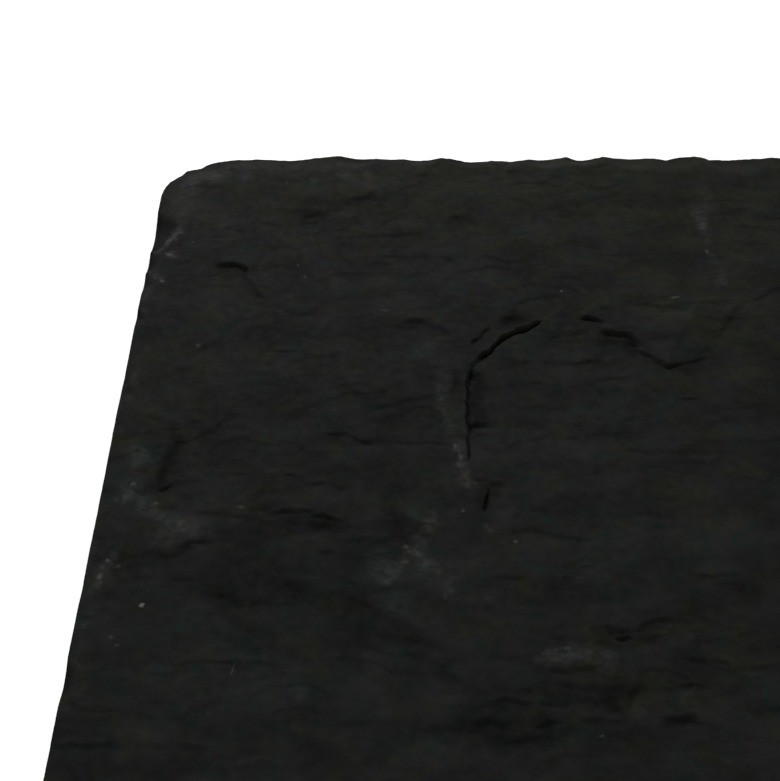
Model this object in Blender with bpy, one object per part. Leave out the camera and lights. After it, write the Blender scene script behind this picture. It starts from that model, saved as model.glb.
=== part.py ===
"""A riven slate slab, modelled as one solid.

The upper face is split along the cleavage of the rock: broad swells, thin
layers that end in ledges, short cracks and a few pits. The two ends are sawn
straight, the long back and front sides are dressed by hand, which leaves
flaked arrises and stepped layers, and the underside is sawn flat.

Sizes are in millimetres until the mesh is made, in metres, with +Z up. The
origin is under the middle of the slab, on the plane that it rests on.
"""

import bmesh
import bpy
import numpy as np

MM = 0.001

# Driving dimensions
LENGTH = 600
DEPTH = 400
THICKNESS = 20
HALF_LENGTH = LENGTH / 2
HALF_DEPTH = DEPTH / 2
DRESSED_EDGE = HALF_DEPTH - 4  # where the dressed sides lie between their bumps

# Relief of the riven face
# Random hills are listed as their size along and across, their height and a seed
SWELLS = [(150, 95, 1.2, 1), (62, 38, 0.6, 2)]
LAYER = 0.45  # thickness of one split layer
LAYER_RISER = 0.07  # share of a layer's width that its riser takes
LAYER_SLOPE = [(90, 45, 2.4, 3), (30, 18, 1.1, 4)]
SPLIT_CLEAN = (48, 30, 1.6, 6)  # where it split into clean layers
GROOVE_WIDTH = 0.8
GROOVE_UNEVEN = (9, 9, 0.8, 17)
END_TAPER = 6  # over this length a ledge fades out at each of its ends

# Scars of the flakes that split off: length, width and depth
LARGE_SCARS = (28, 17, 0.62)
MIDDLE_SCARS = (13, 8, 0.33)
SCAR_RISER = 0.11  # share of a scar's width that the step at its back takes
ROUGH_PATCHES = (62, 38, 0.9, 5)
ROUGH_SPOT = (-84, -140, 50, 26, 0.8)  # the roughest place: middle, half widths, how rough

# How far ledges and scars are pushed about, so that they run unevenly
RAGGED_X = [(9, 8, 1.1, 12), (2.6, 2.4, 0.5, 15)]
RAGGED_Y = [(8, 7, 1.1, 14)]
RAGGED_STEPS = (9, 11, 1.7, 16)
RAGGED_STEP = 0.5
RAGGED_RISER = 0.3
WANDER_X = [(17, 11, 3.0, 11)]
WANDER_Y = [(14, 12, 2.2, 13)]
FLAKE_WANDER_X = [(17, 11, 3.0, 18), (5, 4, 0.8, 19)]
FLAKE_WANDER_Y = [(14, 12, 2.2, 20), (5, 4, 0.7, 23)]

# Broken layers of the dressed sides
SIDE_BUMPS = [(6, 6, 0.5, 31), (2.5, 2.5, 0.3, 32)]
SIDE_LAYERS = [(34, 5.5, 1.6, 41), (11, 2.6, 0.8, 42)]
SIDE_LAYER = 1.1  # how far one broken layer lies inside the next
SIDE_INSET = 1.4  # how far the middle one lies inside the outline
SIDE_LEAN = 0.06  # how much farther in the side lies for each millimetre down
SIDE_RISER = 0.2
SIDE_ROUNDING = 1.5  # the arris rounds over within this depth
SIDE_BLEND = 14  # over this length the layers fade into the flat sawn ends

# Mesh
GRID_STEP = 2.0
SIDE_ROWS = 9
BELOW_CUT = 3.0  # the sides run this far below the saw cut of the underside
TRIANGLES = 8600

# Outline of the back side: places along it, and how far it reaches back
BACK_SIDE = [
    (-300, 163), (-299, 171), (-297, 177), (-294, 180), (-291, 183), (-289, 187),
    (-286, 188), (-281, 189), (-279, 192), (-276, 193), (-265, 194), (-250, 195),
    (-233, 196), (-220, 199), (-204, 200), (-191, 198), (-184, 196), (-158, 196),
    (-144, 197), (-136, 195), (-111, 194), (-96, 196), (-78, 198), (-60, 197),
    (-34, 198), (-25, 196), (-19, 199), (-9, 199), (-1, 195), (19, 197), (48, 196),
    (66, 199), (84, 195), (112, 196), (131, 200), (150, 197), (171, 194), (198, 196),
    (226, 199), (243, 195), (268, 197), (286, 195), (295, 191), (300, 184),
]
FRONT_SIDE = [
    (-300, 193), (-291, 196), (-262, 197), (-236, 195), (-210, 199), (-188, 196),
    (-150, 195), (-121, 198), (-96, 200), (-70, 196), (-38, 195), (-12, 198),
    (20, 197), (44, 194), (79, 196), (101, 199), (124, 196), (160, 195),
    (184, 198), (205, 200), (228, 195), (254, 196), (276, 193), (288, 188),
    (296, 180), (300, 171),
]

# Ledges: the route, with the high side on its left, then the rise, the width of
# the riser, how far the step can be felt, and the depth of the groove at its foot
LEDGES = [
    # the crescent and the cracks beside it
    ([(-143, -30), (-144, -20), (-143, -10), (-143, 4), (-143, 16), (-139, 30)], 1.1, 1.0, 30, 1.0),
    ([(-142, 14), (-140, 27), (-139, 33), (-132, 40)], 1.2, 2.6, 30, 0.5),
    ([(-137, 35), (-132, 40), (-127, 47), (-122, 53), (-114, 57), (-104, 64)], 1.8, 1.0, 34, 1.6),
    ([(-139, -60), (-138, -52), (-135, -43)], 0.6, 1.0, 14, 1.5),
    ([(-141, 42), (-136, 51), (-128, 59)], 0.9, 1.4, 9, 0.5),
    ([(-128, 61), (-120, 64), (-109, 69)], 1.1, 5.0, 9, 0.0),
    ([(-144, -7), (-136, -6), (-130, -9)], 0.9, 2.0, 6, 0.4),
    ([(-141, -13), (-136, -12), (-131, -13)], 0.6, 1.6, 5, 0.1),
    ([(-128, -8), (-120, -7), (-112, -9)], 0.4, 2.0, 6, 0.0),
    ([(-142, -38), (-138, -40), (-134, -40)], 0.6, 2.2, 6, 0.05),
    ([(-137, -42), (-132, -42), (-127, -43)], 0.7, 2.4, 6, 0.05),
    ([(-131, 38), (-121, 37), (-109, 34)], 0.4, 1.2, 7, 0.1),
    # the layer that ends behind it, to the right
    ([(-88, 63), (-82, 65), (-78, 63), (-72, 58)], 1.6, 2.2, 12, 0.6),
    ([(-79, 55), (-71, 54), (-66, 53), (-62, 50), (-58, 42)], 2.0, 3.2, 18, 0.5),
    ([(-63, 44), (-58, 38), (-54, 36), (-50, 31), (-44, 30)], 1.4, 2.6, 20, 0.2),
    ([(-51, 28), (-43, 32), (-36, 34), (-27, 36)], 0.8, 1.4, 20, 0.2),
    ([(-34, 35), (-28, 42), (-25, 47), (-20, 54), (-15, 61), (-11, 69), (-2, 77)], 0.7, 2.4, 20, 0.0),
    ([(-4, 73), (10, 84), (31, 90), (52, 84)], 0.8, 2.0, 20, 0.1),
    ([(-50, 10), (-43, 9), (-35, 10)], 0.8, 1.6, 6, 0.1),
    ([(-76, -5), (-69, -3), (-60, 1)], 0.4, 1.6, 8, 0.05),
    # back left
    ([(-268, 103), (-262, 105), (-256, 105), (-250, 102), (-247, 95)], 2.1, 3.2, 12, 0.2),
    ([(-252, 100), (-246, 90), (-243, 83), (-238, 76)], 1.2, 2.6, 9, 0.1),
    ([(-270, 92), (-265, 96), (-261, 96)], 0.5, 1.4, 5, 0.1),
    ([(-205, 154), (-197, 158), (-189, 161), (-183, 169)], 1.0, 3.8, 12, 0.0),
    ([(-194, 134), (-187, 127), (-177, 127), (-168, 131), (-157, 129)], 0.9, 3.8, 12, 0.0),
    ([(-226, 142), (-218, 146), (-209, 147)], 0.6, 3.0, 8, 0.0),
    ([(-167, 178), (-160, 180), (-154, 184)], 0.7, 3.0, 8, 0.0),
    ([(-150, 143), (-142, 143), (-133, 138)], 0.8, 2.4, 8, 0.0),
    ([(-174, 61), (-164, 61), (-156, 57), (-146, 52)], 1.5, 4.0, 10, 0.0),
    # middle left
    ([(-208, -12), (-195, -13), (-183, -21)], 0.8, 1.6, 10, 0.2),
    ([(-177, -17), (-162, -18), (-147, -19)], 0.5, 1.4, 8, 0.1),
    ([(-277, -47), (-277, -37), (-275, -27), (-272, -15)], 2.0, 5.6, 12, 0.0),
    ([(-278, -45), (-274, -43), (-269, -41)], 0.9, 1.4, 6, 0.2),
    ([(-281, -80), (-268, -81), (-256, -74), (-252, -62)], 1.4, 6.0, 12, 0.0),
    ([(-256, -60), (-246, -58), (-234, -61)], 0.8, 2.6, 14, 0.0),
    ([(-230, -60), (-225, -57), (-219, -57), (-213, -56), (-208, -58)], 1.3, 2.2, 10, 0.1),
    ([(-236, -63), (-222, -62), (-206, -64), (-192, -68)], 0.9, 5.0, 14, 0.0),
    ([(-213, -59), (-205, -60), (-194, -62)], 1.3, 2.4, 8, 0.15),
    ([(-214, -43), (-207, -41), (-201, -42), (-195, -46)], 0.8, 1.8, 7, 0.05),
    ([(-226, -38), (-221, -37), (-216, -41)], 0.6, 1.4, 5, 0.1),
    ([(-209, -78), (-204, -78), (-199, -78)], 0.6, 1.4, 6, 0.1),
    ([(-269, -92), (-262, -91), (-255, -93)], 0.6, 1.8, 6, 0.05),
    ([(-272, -148), (-264, -149), (-256, -148)], 0.5, 1.6, 6, 0.05),
    # front
    ([(-188, -112), (-171, -125), (-158, -135), (-148, -144)], 1.1, 7.0, 14, 0.0),
    ([(-137, -91), (-130, -92), (-121, -92)], 0.8, 2.0, 8, 0.15),
    ([(-57, -90), (-48, -92), (-35, -91)], 0.7, 2.0, 8, 0.1),
    ([(-103, -117), (-96, -116), (-91, -116), (-86, -118), (-80, -116)], 1.0, 2.8, 8, 0.0),
    ([(-84, -119), (-80, -115), (-76, -112), (-72, -112), (-65, -112)], 1.2, 2.6, 10, 0.05),
    ([(-93, -121), (-88, -121), (-83, -120)], 1.3, 1.4, 5, 0.2),
    ([(-122, -134), (-113, -135), (-106, -135), (-92, -133)], 1.1, 2.8, 10, 0.1),
    ([(-68, -128), (-62, -130), (-51, -130), (-45, -133)], 1.0, 2.4, 8, 0.05),
    ([(-86, -138), (-80, -134), (-78, -134), (-72, -136)], 0.6, 1.8, 7, 0.05),
    ([(-101, -152), (-91, -150), (-88, -145), (-85, -142), (-83, -135)], 1.4, 3.4, 10, 0.1),
    ([(-126, -149), (-118, -149), (-108, -149)], 0.9, 2.0, 7, 0.15),
    ([(-126, -161), (-118, -157), (-111, -155)], 1.0, 2.4, 8, 0.15),
    ([(-112, -157), (-101, -156), (-88, -157)], 0.8, 2.2, 6, 0.1),
    ([(-79, -153), (-70, -156), (-62, -152)], 1.2, 4.0, 7, 0.0),
    ([(-108, -142), (-98, -143), (-88, -141)], 0.7, 2.2, 6, 0.05),
    ([(-121, -142), (-112, -141), (-103, -143)], 0.6, 2.0, 5, 0.1),
    ([(-150, -160), (-141, -156), (-132, -158)], 1.2, 3.4, 7, 0.0),
    ([(-170, -161), (-160, -158), (-150, -161)], 1.0, 4.0, 8, 0.0),
    ([(-142, -150), (-133, -148), (-124, -150)], 0.9, 3.0, 7, 0.0),
    ([(-136, -166), (-124, -163), (-112, -166)], 1.1, 3.4, 7, 0.0),
    ([(-72, -141), (-64, -140), (-56, -142)], 0.6, 1.4, 6, 0.1),
    ([(-303, -166), (-284, -166), (-262, -167), (-240, -167)], 0.6, 2.6, 6, 0.0),
    # right of the middle
    ([(92, 66), (103, 60), (112, 55), (122, 56), (131, 58), (142, 70)], 1.4, 1.0, 26, 1.4),
    ([(138, 66), (156, 75), (181, 76), (200, 66)], 1.1, 1.8, 24, 0.2),
    ([(196, 68), (217, 62), (236, 71), (250, 88), (268, 98)], 1.0, 2.4, 20, 0.1),
    ([(176, 22), (181, 36), (178, 52)], 0.8, 0.9, 12, 1.0),
    ([(128, 22), (143, 25), (158, 21)], 0.6, 1.4, 10, 0.1),
    ([(42, -146), (58, -140), (72, -128), (95, -122)], 1.4, 3.0, 22, 0.2),
    ([(90, -121), (112, -117), (139, -121), (160, -110)], 1.0, 2.0, 22, 0.1),
    ([(158, -112), (176, -92), (203, -82), (231, -84)], 1.5, 3.4, 22, 0.2),
    ([(112, -141), (131, -138), (149, -142)], 0.7, 1.2, 10, 0.3),
    ([(212, 22), (231, 15), (252, 17), (266, 26), (286, 24)], 0.9, 1.8, 16, 0.2),
    ([(30, -55), (51, -51), (72, -60), (95, -57)], 0.7, 1.8, 14, 0.1),
    ([(96, -24), (117, -21), (131, -28)], 0.6, 1.4, 10, 0.2),
    ([(194, -24), (215, -30), (229, -28)], 0.7, 1.6, 10, 0.1),
    ([(118, 166), (142, 160), (168, 166)], 0.8, 2.0, 12, 0.1),
    ([(228, 148), (244, 139), (268, 141)], 0.8, 1.8, 12, 0.1),
    ([(34, 133), (58, 128), (79, 133)], 0.6, 1.6, 12, 0.1),
    ([(60, 12), (74, 4), (88, -2)], 0.9, 2.6, 14, 0.0),
    ([(262, -40), (270, -52), (284, -58)], 0.8, 1.6, 10, 0.2),
    ([(206, -146), (228, -141), (247, -149), (270, -146)], 0.9, 1.8, 14, 0.1),
    ([(4, -104), (22, -99), (34, -102)], 0.6, 1.4, 8, 0.1),
]

# Mounds and hollows: middle, half widths along and across, height
MOUNDS = [
    (-266, -70, 17, 11, 1.3),
    (-163, 30, 34, 40, 1.0),
    (-108, 18, 30, 34, -1.1),
    (-50, 72, 40, 24, 1.0),
    (-262, 108, 20, 14, -0.5),
    (-164, -88, 22, 20, -0.9),
    (-104, -128, 22, 9, 0.7),
    (-74, -150, 30, 13, -1.0),
    (152, 34, 40, 30, -1.0),
    (206, 106, 46, 26, 0.9),
    (126, -98, 60, 24, 1.2),
    (242, -44, 32, 26, -1.0),
    (62, 158, 34, 18, 0.8),
]

# Flakes lost from the arrises: middle, radius, depth at the middle
LOST_FLAKES = [
    (-316, 214, 62, 6.5),
    (-307, 130, 22, 7.5),
    (-306, 108, 14, 5.0),
    (-305, 90, 13, 4.4),
    (-303, 62, 9, 2.4),
    (-304, 24, 12, 2.4),
    (-304, -58, 9, 2.0),
    (-304, -96, 11, 2.4),
    (-305, -141, 15, 3.2),
    (306, 108, 17, 4.0),
    (304, 22, 12, 3.0),
    (305, -63, 19, 4.6),
    (314, -208, 58, 11.0),
    (310, 208, 40, 8.0),
    (-309, -205, 30, 6.0),
]
FLAKE_SPACING = 24  # between the flakes lost along a dressed side
FLAKE_RADII = (12, 34)
FLAKE_DEPTHS = (1.2, 4.2)
FLAKE_BEYOND = (0.3, 0.65)  # share of the radius that the middle lies beyond the side
FLAKE_TOP = THICKNESS + 0.8  # height at which the bowl of a lost flake ends

SLATE_COLOUR = (0.016, 0.017, 0.0155, 1.0)
SLATE_ROUGHNESS = 0.6


def ease(t):
    """Goes smoothly from 0 to 1 as t does."""
    t = np.clip(t, 0.0, 1.0)
    return t * t * (3.0 - 2.0 * t)


def hills(x, y, seed):
    """Smooth random hills and hollows about one unit across, from -1 to 1."""
    size = 256
    angles = np.random.default_rng(seed).uniform(0.0, 2.0 * np.pi, (size, size))
    column = np.floor(x).astype(int)
    row = np.floor(y).astype(int)
    across = x - column
    up = y - row

    def slope(right, above):
        angle = angles[(column + right) % size, (row + above) % size]
        return np.cos(angle) * (across - right) + np.sin(angle) * (up - above)

    low = slope(0, 0) + (slope(1, 0) - slope(0, 0)) * ease(across)
    high = slope(0, 1) + (slope(1, 1) - slope(0, 1)) * ease(across)
    return 1.4 * (low + (high - low) * ease(up))


def all_hills(x, y, listed):
    """The listed random hills, all added up."""
    return sum(height * hills(x / along, y / across, seed) for along, across, height, seed in listed)


def layered(level, riser):
    """Turns a slope into flat treads one unit high, joined by steep risers."""
    tread = np.floor(level)
    return tread + ease((level - tread - 0.5) / riser + 0.5)


def rounded(route):
    """A route with each of its corners cut off, so that it bends less abruptly."""
    points = np.array(route, float)
    near = points[:-1] * 0.75 + points[1:] * 0.25
    far = points[:-1] * 0.25 + points[1:] * 0.75
    middle = np.stack([near, far], axis=1).reshape(-1, 2)
    return np.vstack([points[:1], middle, points[-1:]])


def beside(x, y, points):
    """How far each place lies to the left of a route, and how far along it."""
    nearest = np.full(x.shape, np.inf)
    left = np.zeros(x.shape)
    along = np.zeros(x.shape)
    passed = 0.0
    for start, end in zip(points[:-1], points[1:]):
        run = end - start
        length = np.hypot(*run)
        run = run / length
        ahead = (x - start[0]) * run[0] + (y - start[1]) * run[1]
        aside = (y - start[1]) * run[0] - (x - start[0]) * run[1]
        held = np.clip(ahead, 0.0, length)
        away = np.hypot(ahead - held, aside)
        better = away < nearest
        nearest = np.where(better, away, nearest)
        left = np.where(better, np.copysign(away, aside), left)
        along = np.where(better, passed + held, along)
        passed += length
    return left, along, passed


def ledge(x, y, route, rise, riser, reach, groove):
    """The step along one route, which fades away from it and at its ends."""
    points = rounded(route)
    height = np.zeros(x.shape)
    margin = 3.0 * reach
    low = points.min(axis=0) - margin
    high = points.max(axis=0) + margin
    near = (x > low[0]) & (x < high[0]) & (y > low[1]) & (y < high[1])
    left, along, length = beside(x[near], y[near], points)
    taper = min(END_TAPER, 0.4 * length)
    strength = ease(along / taper) * ease((length - along) / taper)
    step = ease(left / riser + 0.5) - 0.5
    uneven = 1.0 + all_hills(along, left * 0.0, [GROOVE_UNEVEN])
    width = GROOVE_WIDTH * uneven * (0.3 + 0.7 * strength)
    cut = uneven * np.exp(-((left + 0.5 * riser) / width) ** 2)
    fade = np.exp(-np.abs(left) / reach)
    rise = rise * (0.6 + 0.4 * uneven)
    height[near] = strength * (rise * step * fade - groove * cut)
    return height


def scars(x, y, length, width, depth, seed):
    """Short scars of lost flakes, with a step at the back of each and a ramp in front."""
    size = 128
    random = np.random.default_rng(seed)
    right, above, bow, turn, reach, share = random.uniform(-1.0, 1.0, (6, size, size))
    column = np.round(x / length).astype(int)
    row = np.round(y / width).astype(int)
    height = np.zeros(x.shape)
    for beside_it in (-1, 0, 1):
        for behind_it in (-1, 0, 1):
            cell = (column + beside_it) % size, (row + behind_it) % size
            along = x / length - column - beside_it - 0.4 * right[cell]
            along = along / (0.65 + 0.3 * reach[cell])
            back = y / width - row - behind_it - 0.4 * above[cell]
            back = back + 0.35 * bow[cell] * along**2 + 0.3 * turn[cell] * along
            ends = ease(1.6 * (1.0 - along**2))
            lost = ease(0.5 - back / SCAR_RISER) * ease(1.0 + back)
            height = height - depth * np.maximum(0.35 + 0.65 * share[cell], 0.0) * ends * lost
    return height


def mound(x, y, middle_x, middle_y, wide, deep, height):
    """A smooth rise, or a hollow where the height is under 0."""
    return height * np.exp(-(((x - middle_x) / wide) ** 2) - ((y - middle_y) / deep) ** 2)


def flakes_along(side, seed):
    """The flakes lost along the back, with side at 1, or the front, at -1."""
    random = np.random.default_rng(seed)
    flakes = []
    place = -HALF_LENGTH + 0.5 * FLAKE_SPACING
    while place < HALF_LENGTH:
        radius = random.uniform(*FLAKE_RADII)
        beyond = DRESSED_EDGE + random.uniform(*FLAKE_BEYOND) * radius
        flakes.append((place, side * beyond, radius, random.uniform(*FLAKE_DEPTHS)))
        place += FLAKE_SPACING * random.uniform(0.6, 1.5)
    return flakes


def roughness(x, y):
    """How rough the split is at each place, from 0 to 1."""
    return ease(0.5 + all_hills(x, y, [ROUGH_PATCHES]) + mound(x, y, *ROUGH_SPOT))


def unbroken_height(x, y):
    """Height of the riven face over the underside, before any flake was lost."""
    jumps = RAGGED_STEP * layered(all_hills(x, y, [RAGGED_STEPS]), RAGGED_RISER)
    ragged_x = x + all_hills(x, y, RAGGED_X)
    ragged_y = y + all_hills(x, y, RAGGED_Y) + jumps
    wander_x = ragged_x + all_hills(x, y, WANDER_X)
    wander_y = ragged_y + all_hills(x, y, WANDER_Y)

    height = THICKNESS + all_hills(x, y, SWELLS)
    for shape in MOUNDS:
        height = height + mound(x, y, *shape)

    slope = all_hills(wander_x, wander_y, LAYER_SLOPE)
    split = ease(0.1 + all_hills(x, y, [SPLIT_CLEAN]))
    height = height + LAYER * (split * layered(slope, LAYER_RISER) + (1.0 - split) * slope)

    rough = roughness(x, y)
    height = height + rough * scars(wander_x, wander_y, *LARGE_SCARS, 7)
    height = height + (0.3 + 0.7 * rough) * scars(wander_x, wander_y, *MIDDLE_SCARS, 8)

    for route, rise, riser, reach, groove in LEDGES:
        height = height + ledge(ragged_x, ragged_y, route, rise, riser, reach, groove)
    return height


def riven_height(x, y):
    """Height of the riven face over the underside."""
    height = unbroken_height(x, y)
    wander_x = x + all_hills(x, y, FLAKE_WANDER_X)
    wander_y = y + all_hills(x, y, FLAKE_WANDER_Y)
    for place_x, place_y, radius, depth in LOST_FLAKES + flakes_along(1, 21) + flakes_along(-1, 22):
        away = np.hypot(wander_x - place_x, wander_y - place_y) / radius
        floor = FLAKE_TOP - depth * (1.0 - away**1.5)
        height = np.where(away < 1.6, np.minimum(height, floor), height)
    return height


def side_reach(places, side):
    """How far a dressed side reaches from the middle line at each place along it."""
    spots, reaches = zip(*side)
    bumps = all_hills(places, places * 0.0, SIDE_BUMPS)
    return np.minimum(np.interp(places, spots, reaches) + bumps, HALF_DEPTH)


def side_inset(x, y, depth):
    """How far a dressed side lies inside the outline at a depth below the riven face."""
    steps = layered(all_hills(x + y, depth, SIDE_LAYERS), SIDE_RISER)
    inset = np.maximum(SIDE_INSET + SIDE_LAYER * steps + SIDE_LEAN * depth, 0.0)
    from_sawn_end = HALF_LENGTH - np.abs(x)
    return inset * ease(depth / SIDE_ROUNDING) * ease(from_sawn_end / SIDE_BLEND)


def outline_sheet(bm):
    """A flat grid stretched to the slab's outline."""
    columns = int(LENGTH / GRID_STEP)
    rows = int(DEPTH / GRID_STEP)
    bmesh.ops.create_grid(bm, x_segments=columns, y_segments=rows, size=1.0)
    spots = np.array([v.co for v in bm.verts])
    x = spots[:, 0] * HALF_LENGTH
    back = side_reach(x, BACK_SIDE)
    front = -side_reach(x, FRONT_SIDE)
    y = front + (back - front) * (spots[:, 1] + 1.0) / 2.0
    return x, y


def run_sides_down(bm):
    """Extrudes the rim of the riven face, row by row, to below the saw cut."""
    rim_spot = bm.verts.layers.float_vector.new("rim spot")
    edges = [e for e in bm.edges if e.is_boundary]
    for vertex in {v for e in edges for v in e.verts}:
        vertex[rim_spot] = vertex.co
    for row in range(1, SIDE_ROWS + 1):
        grown = bmesh.ops.extrude_edge_only(bm, edges=edges)["geom"]
        edges = [g for g in grown if isinstance(g, bmesh.types.BMEdge)]
        ring = [g for g in grown if isinstance(g, bmesh.types.BMVert)]
        rim = np.array([v[rim_spot] for v in ring])
        depth = row / SIDE_ROWS * (rim[:, 2] + BELOW_CUT)
        inset = side_inset(rim[:, 0], rim[:, 1], depth)
        rim[:, 1] -= np.sign(rim[:, 1]) * inset
        rim[:, 2] -= depth
        for vertex, spot in zip(ring, rim):
            vertex.co = spot
    bm.verts.layers.float_vector.remove(rim_spot)


def put_in_steady_order(obj):
    """Numbers the faces in an order that is the same in every run."""
    mesh = obj.data
    faces = []
    for polygon in mesh.polygons:
        corners = list(polygon.vertices)
        first = corners.index(min(corners))
        faces.append(corners[first:] + corners[:first])
    faces.sort()
    obj.data = bpy.data.meshes.new("steady")
    obj.data.from_pydata([v.co for v in mesh.vertices], [], faces)
    bpy.data.meshes.remove(mesh)


def thin_out(obj, triangles):
    """Fits the mesh with far fewer triangles, most of them left along the ledges."""
    mesh = obj.data
    mesh.calc_loop_triangles()
    fewer = obj.modifiers.new("fewer faces", "DECIMATE")
    fewer.ratio = triangles / len(mesh.loop_triangles)
    fewer.use_collapse_triangulate = True
    seen = obj.evaluated_get(bpy.context.evaluated_depsgraph_get())
    slim = bpy.data.meshes.new_from_object(seen)
    obj.modifiers.remove(fewer)
    obj.data = slim
    bpy.data.meshes.remove(mesh)


def saw_underside(obj):
    """Cuts the slab off flat on the plane that it rests on."""
    bm = bmesh.new()
    bm.from_mesh(obj.data)
    everything = bm.verts[:] + bm.edges[:] + bm.faces[:]
    cut = bmesh.ops.bisect_plane(
        bm, geom=everything, plane_co=(0, 0, 0), plane_no=(0, 0, 1), clear_inner=True
    )["geom_cut"]
    rim = [g for g in cut if isinstance(g, bmesh.types.BMEdge)]
    bmesh.ops.contextual_create(bm, geom=rim)
    bmesh.ops.recalc_face_normals(bm, faces=bm.faces[:])
    bm.to_mesh(obj.data)
    bm.free()


def slate():
    """The slab's material."""
    material = bpy.data.materials.new("slate")
    material.use_nodes = True
    shader = material.node_tree.nodes["Principled BSDF"]
    shader.inputs["Base Color"].default_value = SLATE_COLOUR
    shader.inputs["Roughness"].default_value = SLATE_ROUGHNESS
    shader.inputs["Metallic"].default_value = 0.0
    material.diffuse_color = SLATE_COLOUR
    return material


def make_slab(collection):
    """The whole slab."""
    bm = bmesh.new()
    x, y = outline_sheet(bm)
    for vertex, spot in zip(bm.verts, zip(x, y, riven_height(x, y))):
        vertex.co = spot
    run_sides_down(bm)
    bmesh.ops.scale(bm, vec=(MM, MM, MM), verts=bm.verts)
    mesh = bpy.data.meshes.new("slab")
    bm.to_mesh(mesh)
    bm.free()

    slab = bpy.data.objects.new("slab", mesh)
    collection.objects.link(slab)
    put_in_steady_order(slab)
    thin_out(slab, TRIANGLES)
    saw_underside(slab)
    put_in_steady_order(slab)
    slab.data.name = "slab"
    slab.data.materials.append(slate())
    return slab


def main():
    for old in list(bpy.data.objects):
        bpy.data.objects.remove(old, do_unlink=True)
    collection = bpy.data.collections.new("slate_slab")
    bpy.context.scene.collection.children.link(collection)
    make_slab(collection)


main()
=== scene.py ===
"""Looks of the riven slate slab: a finely split mesh in place of the plain solid,
its stone, the floor, the light and the camera.

Sizes are in millimetres until a mesh is made, in metres.
"""

import math

import bpy
import numpy as np
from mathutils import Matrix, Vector


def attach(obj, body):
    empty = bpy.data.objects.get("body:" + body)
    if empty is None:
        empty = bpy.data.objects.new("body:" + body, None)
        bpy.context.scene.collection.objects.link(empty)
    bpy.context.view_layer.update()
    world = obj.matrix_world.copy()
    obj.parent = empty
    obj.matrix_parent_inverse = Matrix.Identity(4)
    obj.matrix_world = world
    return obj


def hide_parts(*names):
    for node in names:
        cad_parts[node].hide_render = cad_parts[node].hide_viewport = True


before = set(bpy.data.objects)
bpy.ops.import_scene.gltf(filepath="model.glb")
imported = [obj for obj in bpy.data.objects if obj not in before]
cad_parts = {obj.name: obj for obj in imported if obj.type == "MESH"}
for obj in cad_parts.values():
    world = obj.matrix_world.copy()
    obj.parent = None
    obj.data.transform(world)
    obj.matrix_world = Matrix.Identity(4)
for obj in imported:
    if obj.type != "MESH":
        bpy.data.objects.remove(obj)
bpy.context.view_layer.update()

MM = 0.001

# Driving dimensions
LENGTH = 600
DEPTH = 400
THICKNESS = 20
HALF_LENGTH = LENGTH / 2
HALF_DEPTH = DEPTH / 2
DRESSED_EDGE = HALF_DEPTH - 4  # where the dressed sides lie between their bumps

# Relief of the riven face
# Random hills are listed as their size along and across, their height and a seed
HILL_GAIN = 1.4  # brings them up to about 1 before they get their height
SWELLS = [(150, 95, 1.2, 1), (62, 38, 0.6, 2)]
LAYER = 0.45  # thickness of one split layer
LAYER_RISER = 0.07  # share of a layer's width that its riser takes
LAYER_SLOPE = [(90, 45, 2.4, 3), (30, 18, 1.1, 4)]
SPLIT_CLEAN = (48, 30, 1.6, 6)  # where it split into clean layers
SPLIT_MOSTLY = 0.1
GROOVE_WIDTH = 0.8
GROOVE_UNEVEN = (9, 9, 0.8, 17)
GROOVE_AT_ENDS = 0.3  # share of its width that is left at a ledge's ends
RISE_STEADY = 0.6  # share of a ledge's rise that doesn't vary along it
END_TAPER = 6  # over this length a ledge fades out at each of its ends
TAPER_SHARE = 0.4  # but over no more than this share of its length
LEDGE_MARGIN = 3  # it isn't worked out beyond this many times its reach

# Scars of the flakes that split off: length, width, depth and a seed
LARGE_SCARS = (28, 17, 0.62, 7)
MIDDLE_SCARS = (13, 8, 0.33, 8)
SCAR_RISER = 0.11  # share of a scar's width that the step at its back takes
SCAR_SCATTER = 0.4  # this and the next are shares that vary at random
SCAR_LENGTH = 0.65
SCAR_LENGTH_VARIES = 0.3
SCAR_BOW = 0.35
SCAR_TURN = 0.3
SCAR_ENDS = 1.6
SCAR_DEPTH = 0.35
SCAR_DEPTH_VARIES = 0.65
SCARS_WHERE_CLEAN = 0.3  # share of the middle scars' depth where it split cleanly
ROUGH_PATCHES = (62, 38, 0.9, 5)
ROUGH_SPOT = (-84, -140, 50, 26, 0.8)  # the roughest place: middle, half widths, how rough

# How far ledges and scars are pushed about, so that they run unevenly
RAGGED_X = [(9, 8, 1.1, 12), (2.6, 2.4, 0.5, 15)]
RAGGED_Y = [(8, 7, 1.1, 14)]
RAGGED_STEPS = (9, 11, 1.7, 16)
RAGGED_STEP = 0.5
RAGGED_RISER = 0.3
WANDER_X = [(17, 11, 3.0, 11)]
WANDER_Y = [(14, 12, 2.2, 13)]
FLAKE_WANDER_X = [(17, 11, 3.0, 18), (5, 4, 0.8, 19)]
FLAKE_WANDER_Y = [(14, 12, 2.2, 20), (5, 4, 0.7, 23)]

# Broken layers of the dressed sides
SIDE_BUMPS = [(6, 6, 0.5, 31), (2.5, 2.5, 0.3, 32)]
SIDE_LAYERS = [(34, 5.5, 1.6, 41), (11, 2.6, 0.8, 42)]
SIDE_LAYER = 1.1  # how far one broken layer lies inside the next
SIDE_INSET = 1.4  # how far the middle one lies inside the outline
SIDE_LEAN = 0.06  # how much farther in the side lies for each millimetre down
SIDE_RISER = 0.2
SIDE_ROUNDING = 1.5  # the arris rounds over within this depth
SIDE_BLEND = 14  # over this length the layers fade into the flat sawn ends

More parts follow.
